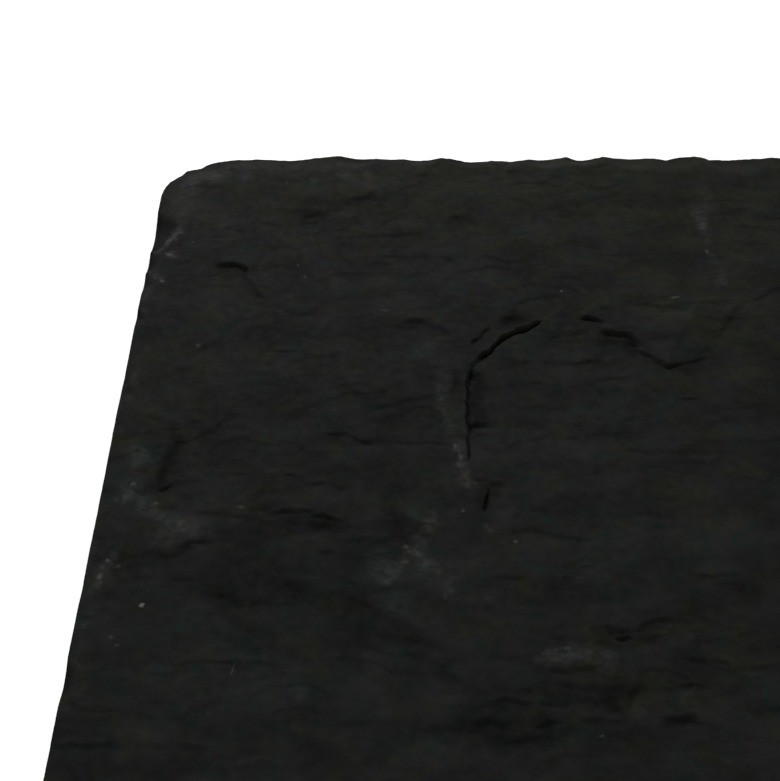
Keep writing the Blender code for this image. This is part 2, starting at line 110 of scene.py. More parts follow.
# Fine relief, which only this mesh has
SMALL_SCARS = (7, 4.0, 0.16, 53)
TINY_SCARS = (3, 2.3, 0.05, 54)
FINE_WHERE_CLEAN = 0.35
GRAIN = (2.0, 1.5, 0.012, 55)
FINE_WANDER_X = (9, 6, 1.2, 51)
FINE_WANDER_Y = (9, 5, 1.0, 52)
FINE_SIDE = [(8, 1.1, 0.5, 43), (3, 0.7, 0.3, 44)]
FRESH_DEPTH = 0.35  # an arris that has lost this much is a clean break
BREAK_CLEAN = 0.6  # share of the fine relief that is missing in such a break

# Colours of the stone and of what lies on it, painted highlights among them
STONE = (0.0064, 0.0064, 0.0063, 1)
OLIVE_STONE = (0.0071, 0.0075, 0.0054, 1)
TEAL_STONE = (0.0049, 0.0069, 0.0063, 1)
PURPLE_STONE = (0.0066, 0.0062, 0.0068, 1)
PALE_STONE_AND_HIGHLIGHT = (0.0367, 0.0367, 0.0358, 1)
GREEN_FILM = (0.0158, 0.0242, 0.0208, 1)
PALE_FLECK_AND_GLINT = (0.0625, 0.0625, 0.0625, 1)

# Patterns in the stone: size along X, Y and Z, detail, roughness and seed
SEED_STEP = (7.3, 3.1, 5.7)  # how far a pattern is moved for each step of its seed
OLIVE_PATTERN = ((13, 14, 13), 3, 0.65, 1)
TEAL_PATTERN = ((12, 13, 12), 3, 0.65, 2)
PURPLE_PATTERN = ((20, 16, 20), 3, 0.65, 3)
PATCHES = ((24, 18, 20), 3, 0.6, 14)
STREAKS = ((5, 4.6, 5), 4, 0.65, 4)
MOTTLING = ((1.5, 1.2, 1.2), 2, 0.6, 5)
SIDE_BANDS = ((16, 16, 0.9), 3, 0.65, 15)
SAW_MARKS = ((40, 1.1, 14), 2, 0.6, 16)
BROKEN_FILM = ((3.2, 2.8, 3), 4, 0.65, 6)
FRESH_SPECKS = ((4, 4, 4), 3, 0.7, 9)
DUST = ((1.7, 1.3, 1.5), 2, 0.6, 11)
FIBRES = ((1.6, 1.1, 0.8), 2, 0.6, 12)
GRIT = ((0.6, 0.5, 0.5), 1, 0.5, 13)
FLECK_EDGES = ((1.3, 1.3, 1.3), 3, 0.5, 10)
FLECK_REACH = 1.8  # how far the edges of the flecks are pushed about
VERY_DEEP = 1000  # half width of a fleck down through the stone

# Between which values of its pattern a tint sets in
OLIVE_FROM = (0.50, 0.66)
TEAL_FROM = (0.53, 0.68)
PURPLE_FROM = (0.58, 0.70)

# Between which values of its pattern something changes, and from what to what
PATCH_TONES = (0.3, 0.7, 0.77, 1.25)
STREAK_TONES = (0.3, 0.7, -0.08, 0.08)
MOTTLING_TONES = (0.25, 0.75, -0.03, 0.03)
BAND_TONES = (0.3, 0.7, -0.1, 0.9)
SAW_TONES = (0.3, 0.7, -0.15, 0.15)
BROKEN_SHARE = (0.3, 0.7, 0.15, 1.2)
FRESH_SHARE = (0.45, 0.6, 0.0, 0.2)
DUST_SHARE = (0.74, 0.82, 0.0, 0.3)
STREAK_ROUGHNESS = (0.3, 0.7, 0.78, 0.68)

# The same for how far a place stands out from its surroundings, and for its height
# crevices get painted shade, and what stands out gets a painted highlight as well as rubbing
CREVICE_PAINTED_SHADE = (-0.6, -0.05, 0.6, 1.0)
RUBBED_AND_HIGHLIGHT_TONES = (0.05, 0.5, 1.0, 1.3)
SIDE_BELOW = (17, 14)

# How strongly the marks and patterns show
TINT_STRENGTH = 0.14
TONE_AND_LIGHT_STRENGTH = 1.1
SIDE_NEUTRAL = 0.6  # share of the tint that the sides lack
FIBRE_HEIGHT = 0.034
GRIT_HEIGHT = 0.026
GLOSS = 0.021

# Mesh
RELIEF_PASSES = 14  # evens the riven face out over about 3 mm
SIDE_PASSES = 3
COLUMNS = 960
ROWS = 640
SIDE_ROWS = 26
TRIANGLES = 192000
UNDERSIDE_WITHIN = 0.05  # what lies this close to the underside's plane is put on it
SHARP_ANGLE = 50

# Camera, over the left of the slab and looking down along its depth
CAMERA_HEIGHT = 430  # over the riven face
CAMERA_PITCH = 45
LEFT_END_ASIDE = 0.2848  # how far it is from the left end, as a share of its height
BACK_EDGE_AHEAD = 1.4225  # and how far the back edge lies ahead of it
CAMERA_X = -HALF_LENGTH + LEFT_END_ASIDE * CAMERA_HEIGHT
CAMERA_Y = DRESSED_EDGE - BACK_EDGE_AHEAD * CAMERA_HEIGHT
FOCAL_PIXELS = 1333
PICTURE_HEIGHT = 781
SENSOR = 36

# Studio: soft light from behind the slab, and an even, pale room
SUN_STRENGTH = 3.3
SUN_WIDTH = 14
SUN_TOWARDS = (0.15, -0.88, -0.76)
LOW_LIGHT = (0.10, 1.05)  # how high over the horizon, and how bright
HIGH_LIGHT = (0.32, 0.65)
FLOOR_SIZE = 60  # in metres
FLOOR_TONE = 0.93
FLOOR_ROUGHNESS = 0.9
FLOOR_GLOSS = 0.1

# Outline of the back side: places along it, and how far it reaches back
BACK_SIDE = [
    (-300, 163), (-299, 171), (-297, 177), (-294, 180), (-291, 183), (-289, 187),
    (-286, 188), (-281, 189), (-279, 192), (-276, 193), (-265, 194), (-250, 195),
    (-233, 196), (-220, 199), (-204, 200), (-191, 198), (-184, 196), (-158, 196),
    (-144, 197), (-136, 195), (-111, 194), (-96, 196), (-78, 198), (-60, 197),
    (-34, 198), (-25, 196), (-19, 199), (-9, 199), (-1, 195), (19, 197), (48, 196),
    (66, 199), (84, 195), (112, 196), (131, 200), (150, 197), (171, 194), (198, 196),
    (226, 199), (243, 195), (268, 197), (286, 195), (295, 191), (300, 184),
]
FRONT_SIDE = [
    (-300, 193), (-291, 196), (-262, 197), (-236, 195), (-210, 199), (-188, 196),
    (-150, 195), (-121, 198), (-96, 200), (-70, 196), (-38, 195), (-12, 198),
    (20, 197), (44, 194), (79, 196), (101, 199), (124, 196), (160, 195),
    (184, 198), (205, 200), (228, 195), (254, 196), (276, 193), (288, 188),
    (296, 180), (300, 171),
]

# Ledges: the route, with the high side on its left, then the rise, the width of
# the riser, how far the step can be felt, and the depth of the groove at its foot
LEDGES = [
    # the crescent and the cracks beside it
    ([(-143, -30), (-144, -20), (-143, -10), (-143, 4), (-143, 16), (-139, 30)], 1.1, 1, 30, 1),
    ([(-142, 14), (-140, 27), (-139, 33), (-132, 40)], 1.2, 2.6, 30, 0.5),
    ([(-137, 35), (-132, 40), (-127, 47), (-122, 53), (-114, 57), (-104, 64)], 1.8, 1, 34, 1.6),
    ([(-139, -60), (-138, -52), (-135, -43)], 0.6, 1, 14, 1.5),
    ([(-141, 42), (-136, 51), (-128, 59)], 0.9, 1.4, 9, 0.5),
    ([(-128, 61), (-120, 64), (-109, 69)], 1.1, 5, 9, 0),
    ([(-144, -7), (-136, -6), (-130, -9)], 0.9, 2, 6, 0.4),
    ([(-141, -13), (-136, -12), (-131, -13)], 0.6, 1.6, 5, 0.1),
    ([(-128, -8), (-120, -7), (-112, -9)], 0.4, 2, 6, 0),
    ([(-142, -38), (-138, -40), (-134, -40)], 0.6, 2.2, 6, 0.05),
    ([(-137, -42), (-132, -42), (-127, -43)], 0.7, 2.4, 6, 0.05),
    ([(-131, 38), (-121, 37), (-109, 34)], 0.4, 1.2, 7, 0.1),
    # the layer that ends behind it, to the right
    ([(-88, 63), (-82, 65), (-78, 63), (-72, 58)], 1.6, 2.2, 12, 0.6),
    ([(-79, 55), (-71, 54), (-66, 53), (-62, 50), (-58, 42)], 2, 3.2, 18, 0.5),
    ([(-63, 44), (-58, 38), (-54, 36), (-50, 31), (-44, 30)], 1.4, 2.6, 20, 0.2),
    ([(-51, 28), (-43, 32), (-36, 34), (-27, 36)], 0.8, 1.4, 20, 0.2),
    ([(-34, 35), (-28, 42), (-25, 47), (-20, 54), (-15, 61), (-11, 69), (-2, 77)], 0.7, 2.4, 20, 0),
    ([(-4, 73), (10, 84), (31, 90), (52, 84)], 0.8, 2, 20, 0.1),
    ([(-50, 10), (-43, 9), (-35, 10)], 0.8, 1.6, 6, 0.1),
    ([(-76, -5), (-69, -3), (-60, 1)], 0.4, 1.6, 8, 0.05),
    # back left
    ([(-268, 103), (-262, 105), (-256, 105), (-250, 102), (-247, 95)], 2.1, 3.2, 12, 0.2),
    ([(-252, 100), (-246, 90), (-243, 83), (-238, 76)], 1.2, 2.6, 9, 0.1),
    ([(-270, 92), (-265, 96), (-261, 96)], 0.5, 1.4, 5, 0.1),
    ([(-205, 154), (-197, 158), (-189, 161), (-183, 169)], 1, 3.8, 12, 0),
    ([(-194, 134), (-187, 127), (-177, 127), (-168, 131), (-157, 129)], 0.9, 3.8, 12, 0),
    ([(-226, 142), (-218, 146), (-209, 147)], 0.6, 3, 8, 0),
    ([(-167, 178), (-160, 180), (-154, 184)], 0.7, 3, 8, 0),
    ([(-150, 143), (-142, 143), (-133, 138)], 0.8, 2.4, 8, 0),
    ([(-174, 61), (-164, 61), (-156, 57), (-146, 52)], 1.5, 4, 10, 0),
    # middle left
    ([(-208, -12), (-195, -13), (-183, -21)], 0.8, 1.6, 10, 0.2),
    ([(-177, -17), (-162, -18), (-147, -19)], 0.5, 1.4, 8, 0.1),
    ([(-277, -47), (-277, -37), (-275, -27), (-272, -15)], 2, 5.6, 12, 0),
    ([(-278, -45), (-274, -43), (-269, -41)], 0.9, 1.4, 6, 0.2),
    ([(-281, -80), (-268, -81), (-256, -74), (-252, -62)], 1.4, 6, 12, 0),
    ([(-256, -60), (-246, -58), (-234, -61)], 0.8, 2.6, 14, 0),
    ([(-230, -60), (-225, -57), (-219, -57), (-213, -56), (-208, -58)], 1.3, 2.2, 10, 0.1),
    ([(-236, -63), (-222, -62), (-206, -64), (-192, -68)], 0.9, 5, 14, 0),
    ([(-213, -59), (-205, -60), (-194, -62)], 1.3, 2.4, 8, 0.15),
    ([(-214, -43), (-207, -41), (-201, -42), (-195, -46)], 0.8, 1.8, 7, 0.05),
    ([(-226, -38), (-221, -37), (-216, -41)], 0.6, 1.4, 5, 0.1),
    ([(-209, -78), (-204, -78), (-199, -78)], 0.6, 1.4, 6, 0.1),
    ([(-269, -92), (-262, -91), (-255, -93)], 0.6, 1.8, 6, 0.05),
    ([(-272, -148), (-264, -149), (-256, -148)], 0.5, 1.6, 6, 0.05),
    # front
    ([(-188, -112), (-171, -125), (-158, -135), (-148, -144)], 1.1, 7, 14, 0),
    ([(-137, -91), (-130, -92), (-121, -92)], 0.8, 2, 8, 0.15),
    ([(-57, -90), (-48, -92), (-35, -91)], 0.7, 2, 8, 0.1),
    ([(-103, -117), (-96, -116), (-91, -116), (-86, -118), (-80, -116)], 1, 2.8, 8, 0),
    ([(-84, -119), (-80, -115), (-76, -112), (-72, -112), (-65, -112)], 1.2, 2.6, 10, 0.05),
    ([(-93, -121), (-88, -121), (-83, -120)], 1.3, 1.4, 5, 0.2),
    ([(-122, -134), (-113, -135), (-106, -135), (-92, -133)], 1.1, 2.8, 10, 0.1),
    ([(-68, -128), (-62, -130), (-51, -130), (-45, -133)], 1, 2.4, 8, 0.05),
    ([(-86, -138), (-80, -134), (-78, -134), (-72, -136)], 0.6, 1.8, 7, 0.05),
    ([(-101, -152), (-91, -150), (-88, -145), (-85, -142), (-83, -135)], 1.4, 3.4, 10, 0.1),
    ([(-126, -149), (-118, -149), (-108, -149)], 0.9, 2, 7, 0.15),
    ([(-126, -161), (-118, -157), (-111, -155)], 1, 2.4, 8, 0.15),
    ([(-112, -157), (-101, -156), (-88, -157)], 0.8, 2.2, 6, 0.1),
    ([(-79, -153), (-70, -156), (-62, -152)], 1.2, 4, 7, 0),
    ([(-108, -142), (-98, -143), (-88, -141)], 0.7, 2.2, 6, 0.05),
    ([(-121, -142), (-112, -141), (-103, -143)], 0.6, 2, 5, 0.1),
    ([(-150, -160), (-141, -156), (-132, -158)], 1.2, 3.4, 7, 0),
    ([(-170, -161), (-160, -158), (-150, -161)], 1, 4, 8, 0),
    ([(-142, -150), (-133, -148), (-124, -150)], 0.9, 3, 7, 0),
    ([(-136, -166), (-124, -163), (-112, -166)], 1.1, 3.4, 7, 0),
    ([(-72, -141), (-64, -140), (-56, -142)], 0.6, 1.4, 6, 0.1),
    ([(-303, -166), (-284, -166), (-262, -167), (-240, -167)], 0.6, 2.6, 6, 0),
    # right of the middle
    ([(92, 66), (103, 60), (112, 55), (122, 56), (131, 58), (142, 70)], 1.4, 1, 26, 1.4),
    ([(138, 66), (156, 75), (181, 76), (200, 66)], 1.1, 1.8, 24, 0.2),
    ([(196, 68), (217, 62), (236, 71), (250, 88), (268, 98)], 1, 2.4, 20, 0.1),
    ([(176, 22), (181, 36), (178, 52)], 0.8, 0.9, 12, 1),
    ([(128, 22), (143, 25), (158, 21)], 0.6, 1.4, 10, 0.1),
    ([(42, -146), (58, -140), (72, -128), (95, -122)], 1.4, 3, 22, 0.2),
    ([(90, -121), (112, -117), (139, -121), (160, -110)], 1, 2, 22, 0.1),
    ([(158, -112), (176, -92), (203, -82), (231, -84)], 1.5, 3.4, 22, 0.2),
    ([(112, -141), (131, -138), (149, -142)], 0.7, 1.2, 10, 0.3),
    ([(212, 22), (231, 15), (252, 17), (266, 26), (286, 24)], 0.9, 1.8, 16, 0.2),
    ([(30, -55), (51, -51), (72, -60), (95, -57)], 0.7, 1.8, 14, 0.1),
    ([(96, -24), (117, -21), (131, -28)], 0.6, 1.4, 10, 0.2),
    ([(194, -24), (215, -30), (229, -28)], 0.7, 1.6, 10, 0.1),
    ([(118, 166), (142, 160), (168, 166)], 0.8, 2, 12, 0.1),
    ([(228, 148), (244, 139), (268, 141)], 0.8, 1.8, 12, 0.1),
    ([(34, 133), (58, 128), (79, 133)], 0.6, 1.6, 12, 0.1),
    ([(60, 12), (74, 4), (88, -2)], 0.9, 2.6, 14, 0),
    ([(262, -40), (270, -52), (284, -58)], 0.8, 1.6, 10, 0.2),
    ([(206, -146), (228, -141), (247, -149), (270, -146)], 0.9, 1.8, 14, 0.1),
    ([(4, -104), (22, -99), (34, -102)], 0.6, 1.4, 8, 0.1),
]

# Mounds and hollows: middle, half widths along and across, height
MOUNDS = [
    (-266, -70, 17, 11, 1.3), (-163, 30, 34, 40, 1), (-108, 18, 30, 34, -1.1), (-50, 72, 40, 24, 1),
    (-262, 108, 20, 14, -0.5), (-164, -88, 22, 20, -0.9), (-104, -128, 22, 9, 0.7),
    (-74, -150, 30, 13, -1), (152, 34, 40, 30, -1), (206, 106, 46, 26, 0.9),
    (126, -98, 60, 24, 1.2), (242, -44, 32, 26, -1), (62, 158, 34, 18, 0.8),
]

# Flakes lost from the arrises: middle, radius, depth at the middle
LOST_FLAKES = [
    (-316, 214, 62, 6.5), (-307, 130, 22, 7.5), (-306, 108, 14, 5), (-305, 90, 13, 4.4),
    (-303, 62, 9, 2.4), (-304, 24, 12, 2.4), (-304, -58, 9, 2), (-304, -96, 11, 2.4),
    (-305, -141, 15, 3.2), (306, 108, 17, 4), (304, 22, 12, 3), (305, -63, 19, 4.6),
    (314, -208, 58, 11), (310, 208, 40, 8), (-309, -205, 30, 6),
]
BACK_SEED = 21
FRONT_SEED = 22
FLAKE_SPACING = 24  # between the flakes lost along a dressed side
FLAKE_GAPS = (0.6, 1.5)  # shares of that spacing
FLAKE_RADII = (12, 34)
FLAKE_DEPTHS = (1.2, 4.2)
FLAKE_BEYOND = (0.3, 0.65)  # share of the radius that the middle lies beyond the side
FLAKE_TOP = THICKNESS + 0.8  # height at which the bowl of a lost flake ends
FLAKE_CURVE = 1.5
FLAKE_END = 1.6  # it isn't worked out beyond this share of its radius

# Marks are listed as their middle, their half widths along and across, their turn in
# degrees and their strength
MARK_INNER = 0.3  # a mark fades from this share of its half widths
MARK_OUTER = 1.3  # to this one

# How far the marks' edges are pushed about: size of the bends, how far, and a seed
BROAD_EDGES = (34, 12, 61)
NEAR_EDGES = (12, 5, 67)
CLOSE_EDGES = (6, 2.4, 73)
FINER_BENDS = 0.45  # size of the next finer bends, as a share
FINER_PUSH = 0.5

# Pale mineral films and bruises, and painted highlights where ridges and arrises catch the light
PALE_FILMS_AND_HIGHLIGHTS = [
    # on and beside the crescent: a painted highlight on its lit ridge, and pale mineral strokes below
    # it
    (-157, 46, 2.4, 16, -32, 0.13), (-154, 20, 3.6, 9, -8, 0.16), (-152, -2, 2, 17, 8, 0.24),
    (-147, -24, 1.4, 8, 8, 0.4), (-146, -33, 2.4, 9, 14, 0.4), (-143, -43, 5, 2.6, -20, 0.3),
    (-154, 11, 3.4, 5, -14, 0.2), (-161, -64, 6.6, 3.2, 63, 0.42), (-166, -73, 4.6, 2.2, 59, 0.3),
    (-167, -77, 4.6, 2.6, 0, 0.55), (-164, -82, 4.4, 1.7, -34, 0.34),
    (-160, -88, 5, 2, -78, 0.36), (-172, -83, 4, 1.7, 60, 0.36),
    (-177, -91, 4.6, 1.8, 64, 0.34), (-152, -92, 2, 2.4, 0, 0.34),
    (-155, -99, 1.8, 4.4, 10, 0.24), (-136, -66, 3.4, 2.6, -30, 0.28), (-148, -85, 9, 3, 10, 0.1),
    (-140, -101, 10, 4, 20, 0.1),
    # back right
    (-15, 141, 3.6, 16, 6, 0.5), (-8, 165, 5, 4, 0, 0.3), (-14, 90, 3.4, 4, 10, 0.26),
    (-13, 108, 1.4, 22, 4, 0.24), (-10, 152, 6, 9, 0, 0.2),
    # the front
    (-117, -129, 6, 5, 0, 0.24), (-108, -128, 8, 4.6, 0, 0.32), (-97, -130, 8, 4.6, 0, 0.24),
    (-211, -144, 5, 4, -20, 0.12), (-41, -27, 5, 2.4, 0, 0.2), (-68, -120, 8, 6, 0, 0.1),
    # along the back arris and the corner: painted sheen where they catch the light from behind, and
    # pale films
    (-287, 160, 9, 17, 0, 0.24), (-276, 181, 12, 5, -10, 0.46), (-255, 179, 3.6, 3.6, 0, 0.42),
    (-260, 187, 22, 5, 0, 0.22), (-285, 176, 7, 7, 0, 0.24), (-289, 146, 4, 5, 20, 0.2),
    (-243, 184, 3, 3, 0, 0.2), (-265, 137, 3.4, 2.6, -20, 0.3), (-274, 160, 0.9, 5, 10, 0.3),
    (-234, 190, 40, 5, 0, 0.14), (-228, 181, 3, 2, 0, 0.2), (-110, 190, 30, 3, 0, 0.12),
    (-240, 172, 6, 2, 0, 0.16), (-190, 180, 8, 2.4, -76, 0.3), (-194, 172, 8, 9, 0, 0.12),
    (-219, 176, 2, 4, 0, 0.2), (-201, 180, 6, 4, 0, 0.2), (-202, 147, 4, 3, -40, 0.16),
    (-129, 178, 8, 2, 0, 0.15), (-180, 190, 40, 4, 0, 0.1), (-60, 190, 60, 4, 0, 0.08),
    (-24, 118, 14, 10, 0, 0.06),
    # along the left arris: painted highlights on the lit edges of its chips and lumps, and pale films
    (-291, 126, 12, 2.2, 62, 0.9), (-289, 114, 3.8, 2.4, -30, 0.55), (-294, 95, 3.6, 3.4, 0, 0.5),
    (-297, 78, 2.4, 12, 0, 0.3), (-294, -91, 2.2, 9, -12, 0.4), (-263, -66, 7, 6, -30, 0.22),
    (-270, -73, 8, 5, -20, 0.2), (-258, -74, 3, 6, 20, 0.18), (-272, -62, 9, 2, -15, 0.2),
    (-262, -69, 6, 4, -20, 0.14), (-289, -48, 4, 5, 0, 0.3), (-288, -23, 5, 3, -20, 0.2),
    (-285, -30, 4, 3, 10, 0.12), (-281, -54, 4, 2.4, -20, 0.24), (-276, -58, 9, 4, -20, 0.2),
    (-254, -68, 4, 5, 0, 0.16), (-291, -83, 2.6, 6, -10, 0.34), (-296, 20, 1.6, 20, 0, 0.2),
    (-296, -120, 1.6, 20, 0, 0.16),
    # farther right
    (118, 60, 16, 3, -14, 0.16), (182, 40, 2.2, 14, 4, 0.26), (64, -124, 9, 4, 30, 0.3),
    (210, -76, 14, 3, 10, 0.2), (292, 106, 5, 10, 0, 0.34), (291, -62, 5, 12, 0, 0.3),
    (250, 92, 4, 7, -30, 0.26), (40, 190, 50, 4, 0, 0.1), (220, 191, 60, 4, 0, 0.12),
]

# Stone of a more olive tint
OLIVE_MARKS = [
    (-110, 176, 240, 60, 0, 1.3), (-60, 100, 90, 50, 10, 0.4), (-10, 60, 50, 90, 0, 0.8),
    (-282, 20, 26, 50, 0, 0.7), (-290, -50, 16, 14, 0, 0.8), (-84, -134, 44, 34, 0, 0.6),
    (-50, -54, 26, 12, 0, 0.9), (-250, 100, 24, 26, 0, 0.4), (-225, 70, 40, 12, 0, 0.35),
    (-274, -28, 8, 16, 0, 1.2), (-190, -104, 9, 6, 0, 0.8), (-196, -62, 9, 4, 0, 0.8),
    (-238, -60, 22, 8, 0, 0.5), (-186, -52, 14, 10, 0, 0.6), (-165, -46, 14, 12, 0, 0.6),
    (-105, 40, 30, 30, 0, 0.45), (-36, -120, 30, 20, 0, 0.4), (-200, 26, 20, 12, 0, 0.35),
    (100, 150, 120, 50, 0, 0.8), (260, 60, 60, 60, 0, 0.6), (130, -60, 60, 30, 0, 0.5),
    (220, -150, 60, 30, 0, 0.5), (60, 20, 40, 40, 0, 0.4),
]

# Stone of a more teal tint
TEAL_MARKS = [
    (-230, -130, 80, 60, 0, 0.5), (-175, -85, 50, 26, 0, 0.35), (-200, 24, 60, 36, 0, 0.3),
    (-112, 40, 12, 22, 0, 0.8), (-84, 0, 16, 26, 0, 0.7), (-168, -52, 9, 9, 0, 0.9),
    (-289, -36, 8, 22, 0, 0.7), (-60, -80, 50, 24, 0, 0.5), (-100, -60, 30, 20, 0, 0.4),
    (-55, 10, 14, 20, 0, 0.6), (-45, 112, 14, 8, 0, 0.8), (-120, -160, 50, 12, 0, 0.6),
    (-30, -150, 30, 20, 0, 0.6), (-130, 110, 30, 14, 0, 0.3), (90, -130, 80, 40, 0, 0.8),
    (150, 40, 40, 30, 0, 0.6), (240, -60, 40, 40, 0, 0.6), (60, 90, 30, 20, 0, 0.5),
]

# Stone of another tone, and painted light and shade: above 0 is lighter, below 0 darker
TONES_AND_PAINTED_LIGHT = [
    # darker: mostly painted shade on the risers, cracks and hollows of the ledges, with some darker
    # stone
    (-272, -19, 5, 6, -10, -0.5), (-274, -30, 5, 7, 0, -0.55), (-275, -39, 5, 5, 0, -0.35),
    (-88, -121, 5, 1.8, 0, -0.5), (-258, -31, 12, 4, 0, -0.25), (-213, -63, 17, 7, 0, -0.25),
    (-204, -63, 8, 3, 0, -0.2), (-238, -70, 22, 8, 10, -0.25), (-213, -100, 46, 24, 0, -0.2),
    (-241, -100, 17, 8, 0, -0.22), (-139, 14, 4, 30, 0, -0.5), (-120, 60, 13, 7, 35, -0.4),
    (-186, -17, 38, 3, 0, -0.25), (-171, 128, 22, 6, 0, -0.35), (-195, 159, 9, 5, 30, -0.2),
    (-160, 181, 6, 3, 30, -0.25), (-218, 145, 9, 4, 20, -0.2), (-141, 142, 11, 5, 0, -0.2),
    (-257, 98, 11, 6, 0, -0.3), (-247, 84, 5, 12, 30, -0.25), (-247, 54, 4, 20, 10, -0.2),
    (-137, -160, 46, 8, 0, -0.3), (-104, -164, 16, 6, 0, -0.2), (-92, -145, 14, 5, 33, -0.3),
    (-99, -150, 9, 3, 0, -0.25), (-69, -156, 8, 4, 0, -0.3), (-114, -144, 26, 7, 0, -0.2),
    (-117, -157, 8, 3, 0, -0.3), (-38, -98, 12, 7, 0, -0.35), (-68, 46, 17, 7, -28, -0.34),
    (-172, -118, 22, 5, -38, -0.3), (-150, -140, 12, 4, -38, -0.2), (-242, -102, 12, 5, 10, -0.2),
    (-213, -98, 7, 7, 0, -0.2), (-230, -116, 10, 3, 0, -0.2), (-190, -104, 8, 4, 0, -0.25),
    (-45, 29, 12, 4, 0, -0.2), (-287, -84, 10, 6, 0, -0.15), (-84, -118, 20, 4, 8, -0.12),
    (-137, -52, 5, 12, 0, -0.3), (-141, -70, 6, 8, 0, -0.3), (-173, -62, 5, 8, 0, -0.2),
    (-70, -154, 8, 6, 0, -0.3), (-163, 57, 16, 4.6, -14, -0.32), (-118, 65, 9, 6, 20, -0.34),
    (-200, -40, 50, 8, 0, -0.12), (-290, 137, 6, 9, 0, -0.2), (-287, 108, 7, 3, -10, -0.25),
    (-100, -4, 70, 11, 0, -0.12), (-112, -98, 34, 8, 0, -0.22), (-230, 150, 24, 10, 10, -0.12),
    (-137, -6, 8, 3, 0, -0.3), (-135, -41, 8, 2.4, 0, -0.3), (-98, -152, 12, 6, 20, -0.15),
    # lighter: a painted sheen along the back arris and its corner, a painted highlight beside the
    # crescent, and lighter stone
    (-280, 170, 28, 24, 0, 0.2), (-132, 190, 170, 7, 0, 0.22), (-120, 176, 170, 12, 0, 0.21),
    (-262, -66, 12, 8, 0, 0.3), (-43, 64, 22, 22, 0, 0.2), (-255, 70, 22, 20, 0, 0.15),
    (-151, 0, 5, 34, 6, 0.25), (-150, 108, 46, 30, 0, 0.12), (-100, -24, 44, 26, 0, 0.1),
    (-270, 150, 30, 30, 0, 0.14), (-60, -60, 44, 26, 0, 0.08), (-250, -130, 50, 24, 0, 0.1),
    (-180, -140, 26, 14, 0, 0.12), (-290, -10, 8, 30, 0, 0.12), (-216, 128, 16, 12, 0, 0.1),
    (-96, -24, 22, 8, 0, 0.12), (-40, -60, 18, 10, 0, 0.1), (-60, -150, 16, 8, 0, 0.14),
    # farther right
    (110, 84, 40, 16, 8, 0.2), (176, 40, 8, 24, 0, -0.35), (60, -132, 30, 12, 20, -0.25),
    (240, -110, 30, 18, 0, 0.16), (150, -20, 50, 20, 0, -0.14), (256, 120, 36, 18, 0, -0.18),
    (90, -150, 40, 14, 0, 0.16), (30, 40, 46, 26, 0, -0.08), (196, -100, 24, 8, 10, -0.3),
    (130, 56, 30, 6, -10, -0.3), (220, 40, 40, 20, 0, 0.14), (60, -20, 30, 30, 0, 0.12),
    (100, 150, 50, 14, 0, -0.14), (30, 110, 30, 16, 0, 0.12), (270, -10, 20, 30, 0, -0.16),
]

# Films of a green mineral
GREEN_FILMS = [
    (-286, -26, 7, 8, 0, 0.36), (-287, -47, 7, 8, -30, 0.5), (-280, -52, 5, 5, -30, 0.4),
    (-181, -87, 8, 9, 10, 0.34), (-174, -103, 3.5, 9, 0, 0.16), (-176, -90, 4, 5, 0, 0.2),
    (-167, -57, 2.5, 6, 0, 0.3), (-130, -62, 4, 5, 0, 0.2), (-155, -97, 4, 6, 20, 0.2),
    (-164, -85, 4, 6, 20, 0.25), (-146, -2, 3, 8, 0, 0.25), (-205, 22, 3, 4, 0, 0.2),
    (-203, 146, 5, 5, -30, 0.15), (-121, 74, 12, 6, 20, 0.16), (-176, -106, 6, 9, 0, 0.1),
    (-118, -124, 5, 5, 0, 0.2), (-163, 42, 4, 8, -30, 0.2), (-222, -145, 12, 10, 0, 0.1),
    (-258, 82, 6, 6, 0, 0.1), (150, 20, 8, 8, 0, 0.3), (176, 8, 5, 9, 0, 0.3),
    (70, -130, 8, 6, 0, 0.3),
]

# Small chips of fresh stone, and painted glints where chip edges and lips catch the light
FLECKS_AND_GLINTS = [
    (-275, -105, 1, 1.1, 0, 1), (-290, 113, 1.6, 1.2, 0, 0.48), (-291, 92, 1.4, 1.4, 0, 0.42),
    (-16, 115, 0.9, 1.5, 0, 0.42), (-38, 78, 2.6, 0.9, 12, 0.36), (-93, 84, 0.8, 0.9, 0, 0.33),
    (-292, -83, 1, 1.2, 0, 0.36), (-294, -91, 1.2, 1.6, 0, 0.42), (-287, -86, 1, 0.8, 0, 0.21),
    (-149, -20, 0.9, 1.6, 10, 0.3), (-147, -26, 0.8, 2.2, 10, 0.24), (-126, -73, 0.9, 1, 0, 0.3),
    (-220, 95, 0.9, 0.9, 0, 0.3), (-224, 104, 0.7, 0.8, 0, 0.24), (-147, -57, 1, 1, 0, 0.27),
    (-276, -53, 1, 1, 0, 0.27), (-287, -42, 1.4, 1.2, 0, 0.3), (-279, 123, 1.3, 0.8, 0, 0.24),
    (-268, 44, 1.4, 1.4, -40, 0.24), (-171, -75, 1.6, 1.2, 0, 0.24), (-240, -55, 2, 1, 0, 0.18),
    (-285, -120, 1.2, 1, 0, 0.18), (-282, -124, 1, 0.8, 0, 0.18),
    (-237, -134, 0.4, 3.4, -6, 0.18), (-233, 173, 0.5, 2.4, 0, 0.18), (-180, 69, 2.6, 1.2, 0, 0.15),
    (-101, -163, 1.4, 0.8, 0, 0.18), (-110, -126, 1.6, 1, 0, 0.21),
    (-227, 130, 0.5, 6, 0, 0.08),
    # farther right
    (44, 112, 0.9, 0.9, 0, 0.3), (96, -33, 1, 0.9, 0, 0.3), (151, 128, 1.2, 0.8, 0, 0.24),
    (203, -66, 0.9, 1, 0, 0.36), (246, 52, 1.1, 0.9, 0, 0.24), (71, -108, 0.8, 0.8, 0, 0.3),
    (292, -21, 1.2, 1.6, 0, 0.36), (289, 74, 1, 1.4, 0, 0.3), (181, 8, 0.8, 0.9, 0, 0.24),
]


